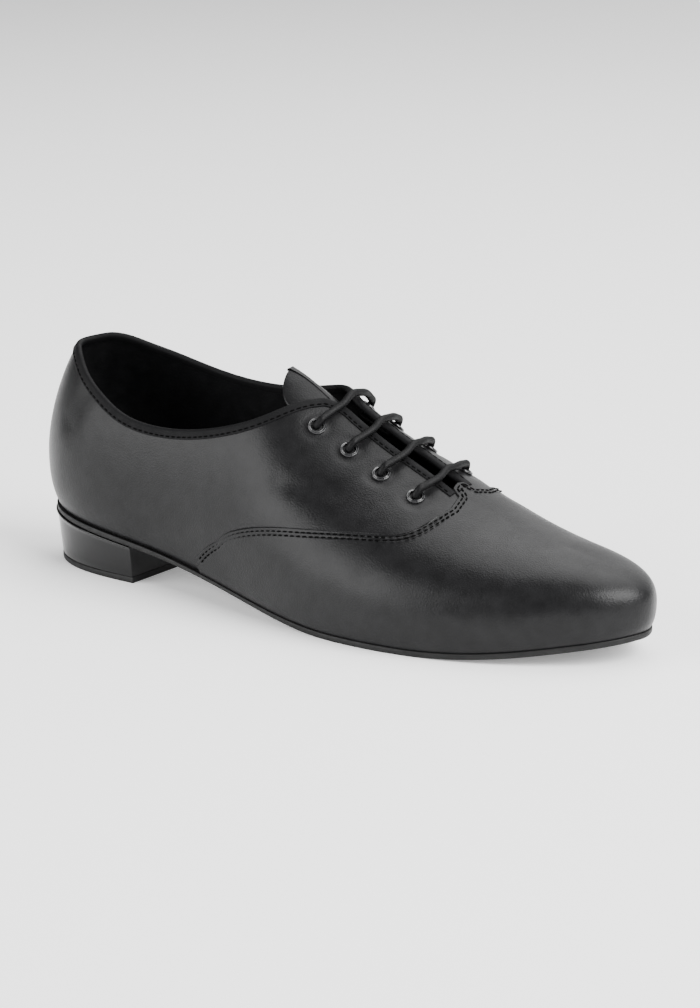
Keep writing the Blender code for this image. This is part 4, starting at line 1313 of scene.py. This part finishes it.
class Nodes:
    """A Principled material with helpers for its procedural detail, in metres of object space."""

    def __init__(self, name, colour, roughness, **sockets):
        self.material = bpy.data.materials.new(name)
        self.material.use_nodes = True
        self.tree = self.material.node_tree
        self.shader = self.tree.nodes["Principled BSDF"]
        self.shader.inputs["Base Color"].default_value = (*colour, 1.0)
        self.shader.inputs["Roughness"].default_value = roughness
        for socket, value in sockets.items():
            self.shader.inputs[socket.replace("_", " ")].default_value = value
        self.place = self.tree.nodes.new("ShaderNodeTexCoord").outputs["Object"]
        self.height = None

    def node(self, kind, **values):
        made = self.tree.nodes.new(kind)
        for name, value in values.items():
            if name in made.inputs:
                made.inputs[name].default_value = value
            else:
                setattr(made, name, value)
        return made

    def link(self, output, target):
        self.tree.links.new(output, target)

    def stretched(self, scale):
        mapping = self.node("ShaderNodeMapping")
        mapping.inputs["Scale"].default_value = scale
        self.link(self.place, mapping.inputs["Vector"])
        return mapping.outputs["Vector"]

    def noise(self, size, detail, stretch=(1, 1, 1)):
        made = self.node("ShaderNodeTexNoise", Scale=1.0, Detail=detail)
        self.link(self.stretched([s / size for s in stretch]), made.inputs["Vector"])
        return made.outputs["Fac"]

    def cells(self, size):
        made = self.node("ShaderNodeTexVoronoi", Scale=1.0)
        self.link(self.stretched([1 / size] * 3), made.inputs["Vector"])
        return made.outputs["Distance"]

    def mapped(self, value, low, high, to_low, to_high):
        made = self.node("ShaderNodeMapRange")
        for name, number in (("From Min", low), ("From Max", high), ("To Min", to_low), ("To Max", to_high)):
            made.inputs[name].default_value = number
        self.link(value, made.inputs["Value"])
        return made.outputs["Result"]

    def vary_roughness(self, value, low, high):
        self.link(self.mapped(value, *NOISE_RANGE, low, high), self.shader.inputs["Roughness"])

    def vary_colour(self, value, dark, light):
        ramp = self.node("ShaderNodeValToRGB")
        for stop, position, colour in zip(ramp.color_ramp.elements, NOISE_RANGE, (dark, light)):
            stop.position = position
            stop.color = (*colour, 1)
        self.link(value, ramp.inputs["Fac"])
        self.link(ramp.outputs["Color"], self.shader.inputs["Base Color"])

    def bump(self, value, distance):
        """Adds relief of this real height under what is there already."""
        made = self.node("ShaderNodeBump", Strength=1.0, Distance=distance)
        self.link(value, made.inputs["Height"])
        if self.height is not None:
            self.link(self.height, made.inputs["Normal"])
        self.height = made.outputs["Normal"]
        self.link(self.height, self.shader.inputs["Normal"])


def calf_leather():
    """Smooth black calf: fine pores and a soft grain, satin, with slow changes of gloss."""
    made = Nodes(
        "black calf", (0.006, 0.006, 0.0064), 0.35,
        Specular_IOR_Level=0.17, Coat_Weight=0.04, Coat_Roughness=0.25,
    )
    made.vary_roughness(made.noise(0.022, 3.0), 0.30, 0.40)
    made.vary_colour(made.noise(0.006, 4.0), (0.0045, 0.0045, 0.0048), (0.008, 0.008, 0.0085))
    made.bump(made.noise(0.012, 2.0), 0.00012)
    made.bump(made.cells(0.00070), 0.000060)
    made.bump(made.noise(0.00035, 2.0), 0.000035)
    return made.material


def binding_leather():
    made = Nodes("soft binding", (0.004, 0.004, 0.0044), 0.62, Specular_IOR_Level=0.10)
    made.vary_roughness(made.noise(0.004, 3.0), 0.55, 0.70)
    made.bump(made.cells(0.0005), 0.00006)
    made.bump(made.noise(0.0003, 3.0), 0.00005)
    return made.material


def lining_leather():
    made = Nodes("black lining", (0.004, 0.004, 0.004), 0.75, Specular_IOR_Level=0.2)
    made.vary_colour(made.noise(0.008, 4.0), (0.003, 0.003, 0.003), (0.006, 0.006, 0.006))
    made.bump(made.cells(0.0007), 0.00004)
    return made.material


def sole_leather():
    made = Nodes("black sole", (0.007, 0.007, 0.007), 0.55, Specular_IOR_Level=0.25)
    made.vary_roughness(made.noise(0.003, 3.0, stretch=(1, 1, 6)), 0.45, 0.65)
    made.vary_colour(made.noise(0.005, 5.0), (0.004, 0.004, 0.004), (0.009, 0.009, 0.009))
    made.bump(made.noise(0.0006, 4.0), 0.00006)
    return made.material


def patent_cover():
    made = Nodes(
        "patent cover", (0.002, 0.002, 0.0022), 0.22,
        Specular_IOR_Level=0.22, Coat_Weight=0.15, Coat_Roughness=0.08,
    )
    made.vary_roughness(made.noise(0.010, 3.0), 0.12, 0.24)
    made.bump(made.noise(0.009, 2.0), 0.00010)
    made.bump(made.noise(0.0015, 2.0), 0.000010)
    return made.material


def tip_rubber():
    made = Nodes("rubber", (0.006, 0.006, 0.006), 0.6, Specular_IOR_Level=0.25)
    made.vary_colour(made.noise(0.004, 4.0), (0.004, 0.004, 0.004), (0.009, 0.009, 0.009))
    made.bump(made.noise(0.0008, 3.0), 0.00005)
    return made.material


def black_lacquer():
    made = Nodes(
        "black lacquer", (0.012, 0.012, 0.013), 0.16,
        Specular_IOR_Level=0.4, Coat_Weight=0.3, Coat_Roughness=0.06,
    )
    made.vary_roughness(made.noise(0.0015, 3.0), 0.12, 0.22)
    made.bump(made.noise(0.0006, 2.0), 0.000006)
    return made.material


def waxed_cord():
    made = Nodes("waxed cord", (0.003, 0.003, 0.0033), 0.50, Specular_IOR_Level=0.14)
    made.vary_roughness(made.noise(0.0012, 3.0), 0.42, 0.60)
    made.bump(made.noise(0.00018, 2.0), 0.00003)
    return made.material


def thread():
    made = Nodes("black thread", (0.0012, 0.0012, 0.0012), 0.85, Specular_IOR_Level=0.04)
    made.bump(made.noise(0.00015, 2.0), 0.00003)
    return made.material


# The photograph's camera, in the last's own frame
CAMERA_TURN = 35.0
CAMERA_TILT = 15.0
CAMERA_DISTANCE = 1.242
CAMERA_TARGET = (0.1485, 0.0, 0.0414)
CAMERA_RIGHT = 0.0054855
CAMERA_UP = 0.0013455
CAMERA_LENS_PIXELS = 2930.0
IMAGE_HEIGHT = 1008.0
SENSOR = 36.0
# Soft studio lights: direction from the shoe, distance, width and depth in metres, power in watts
LIGHTS = (
    # name, direction, distance, width, depth, power
    ("overhead", (0.05, 0.42, 1.0), 2.2, 2.4, 2.0, 64.0),
    ("left", (-0.54, -0.84, 0.36), 2.2, 2.0, 1.6, 66.0),
    ("right", (1.00, -0.03, 0.75), 2.2, 1.6, 1.5, 120.0),
    ("behind", (0.00, 1.00, 0.42), 3.8, 5.0, 2.8, 60.0),
)
SURROUNDING = 0.12
FLOOR_GLOW = 0.3
FLOOR_HALF = 30.0


def build_camera():
    turn, tilt = math.radians(CAMERA_TURN), math.radians(CAMERA_TILT)
    back = Vector((math.sin(turn) * math.cos(tilt), -math.cos(turn) * math.cos(tilt), math.sin(tilt)))
    right = Vector((math.cos(turn), math.sin(turn), 0.0))
    up = back.cross(right)
    data = bpy.data.cameras.new("camera")
    data.sensor_width = SENSOR
    data.lens = CAMERA_LENS_PIXELS / IMAGE_HEIGHT * SENSOR
    camera = bpy.data.objects.new("camera", data)
    target = Vector(CAMERA_TARGET) + Vector(SHIFT)
    place = target + back * CAMERA_DISTANCE + right * CAMERA_RIGHT + up * CAMERA_UP
    camera.matrix_world = Matrix.Translation(place) @ Matrix((right, up, back)).transposed().to_4x4()
    bpy.context.scene.collection.objects.link(camera)
    bpy.context.scene.camera = camera
    return target


def add_light(target, name, direction, distance, width, depth, power):
    """A soft rectangular light that faces the shoe from a direction."""
    data = bpy.data.lights.new(name, "AREA")
    data.shape = "RECTANGLE"
    data.size, data.size_y = width, depth
    data.energy = power
    light = bpy.data.objects.new(name, data)
    away = Vector(direction).normalized()
    light.location = target + away * distance
    light.rotation_mode = "QUATERNION"
    light.rotation_quaternion = away.to_track_quat("Z", "Y")
    bpy.context.scene.collection.objects.link(light)


def build_stage(target):
    """A pale floor, a pale surrounding and soft studio lights."""
    floor_mesh = bpy.data.meshes.new("floor")
    corners = [(x * FLOOR_HALF, y * FLOOR_HALF, 0) for x, y in ((-1, -1), (1, -1), (1, 1), (-1, 1))]
    floor_mesh.from_pydata(corners, [], [(0, 1, 2, 3)])
    floor = bpy.data.objects.new("floor", floor_mesh)
    bpy.context.scene.collection.objects.link(floor)
    paint = Nodes("pale floor", (0.92, 0.92, 0.92), 0.9, Emission_Strength=FLOOR_GLOW)
    paint.shader.inputs["Emission Color"].default_value = (1.0, 1.0, 1.0, 1.0)
    floor_mesh.materials.append(paint.material)
    world = bpy.data.worlds.new("studio")
    world.use_nodes = True
    background = world.node_tree.nodes["Background"]
    background.inputs["Color"].default_value = (1.0, 1.0, 1.0, 1.0)
    background.inputs["Strength"].default_value = SURROUNDING
    bpy.context.scene.world = world
    for light in LIGHTS:
        add_light(target, *light)


def main():
    target = build_camera()
    build_stage(target)
    calf = calf_leather()
    lining = lining_leather()
    cord = waxed_cord()
    stitched = thread()
    lacquer = black_lacquer()
    quarters = build_quarters(calf)
    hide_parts("upper")
    vamp = build_vamp(calf)
    binding = build_binding(binding_leather())
    vamp_stitches, binding_stitches = build_all_stitches(stitched)
    tongue = build_tongue(calf)
    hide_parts("tongue")
    sock = build_insole(lining)
    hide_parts("insole")
    sole = build_outsole(sole_leather())
    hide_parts("outsole")
    heel = build_heel(patent_cover())
    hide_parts("heel")
    tip = build_heel_tip(tip_rubber())
    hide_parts("heel_tip")
    lace = build_lace(cord)
    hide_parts("lace")
    pieces = [
        (quarters, "upper_leather"),
        (vamp, "upper_leather"),
        (binding, "lining"),
        (vamp_stitches, "lace"),
        (binding_stitches, "lace"),
        (tongue, "upper_leather"),
        (sock, "lining"),
        (sole, "sole"),
        (heel, "heel_cover"),
        (tip, "heel_tip"),
        (lace, "lace"),
    ]
    for number, row in enumerate(EYELETS, 1):
        for side, (rib, up) in zip(("outer", "inner"), row):
            eyelet = build_eyelet(f"lacquered_eyelet_{side}_{number}", rib, up, lacquer)
            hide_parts(f"eyelet_{side}_{number}")
            pieces.append((eyelet, "eyelet"))
    for piece, slot in pieces:
        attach(piece, "root")


main()
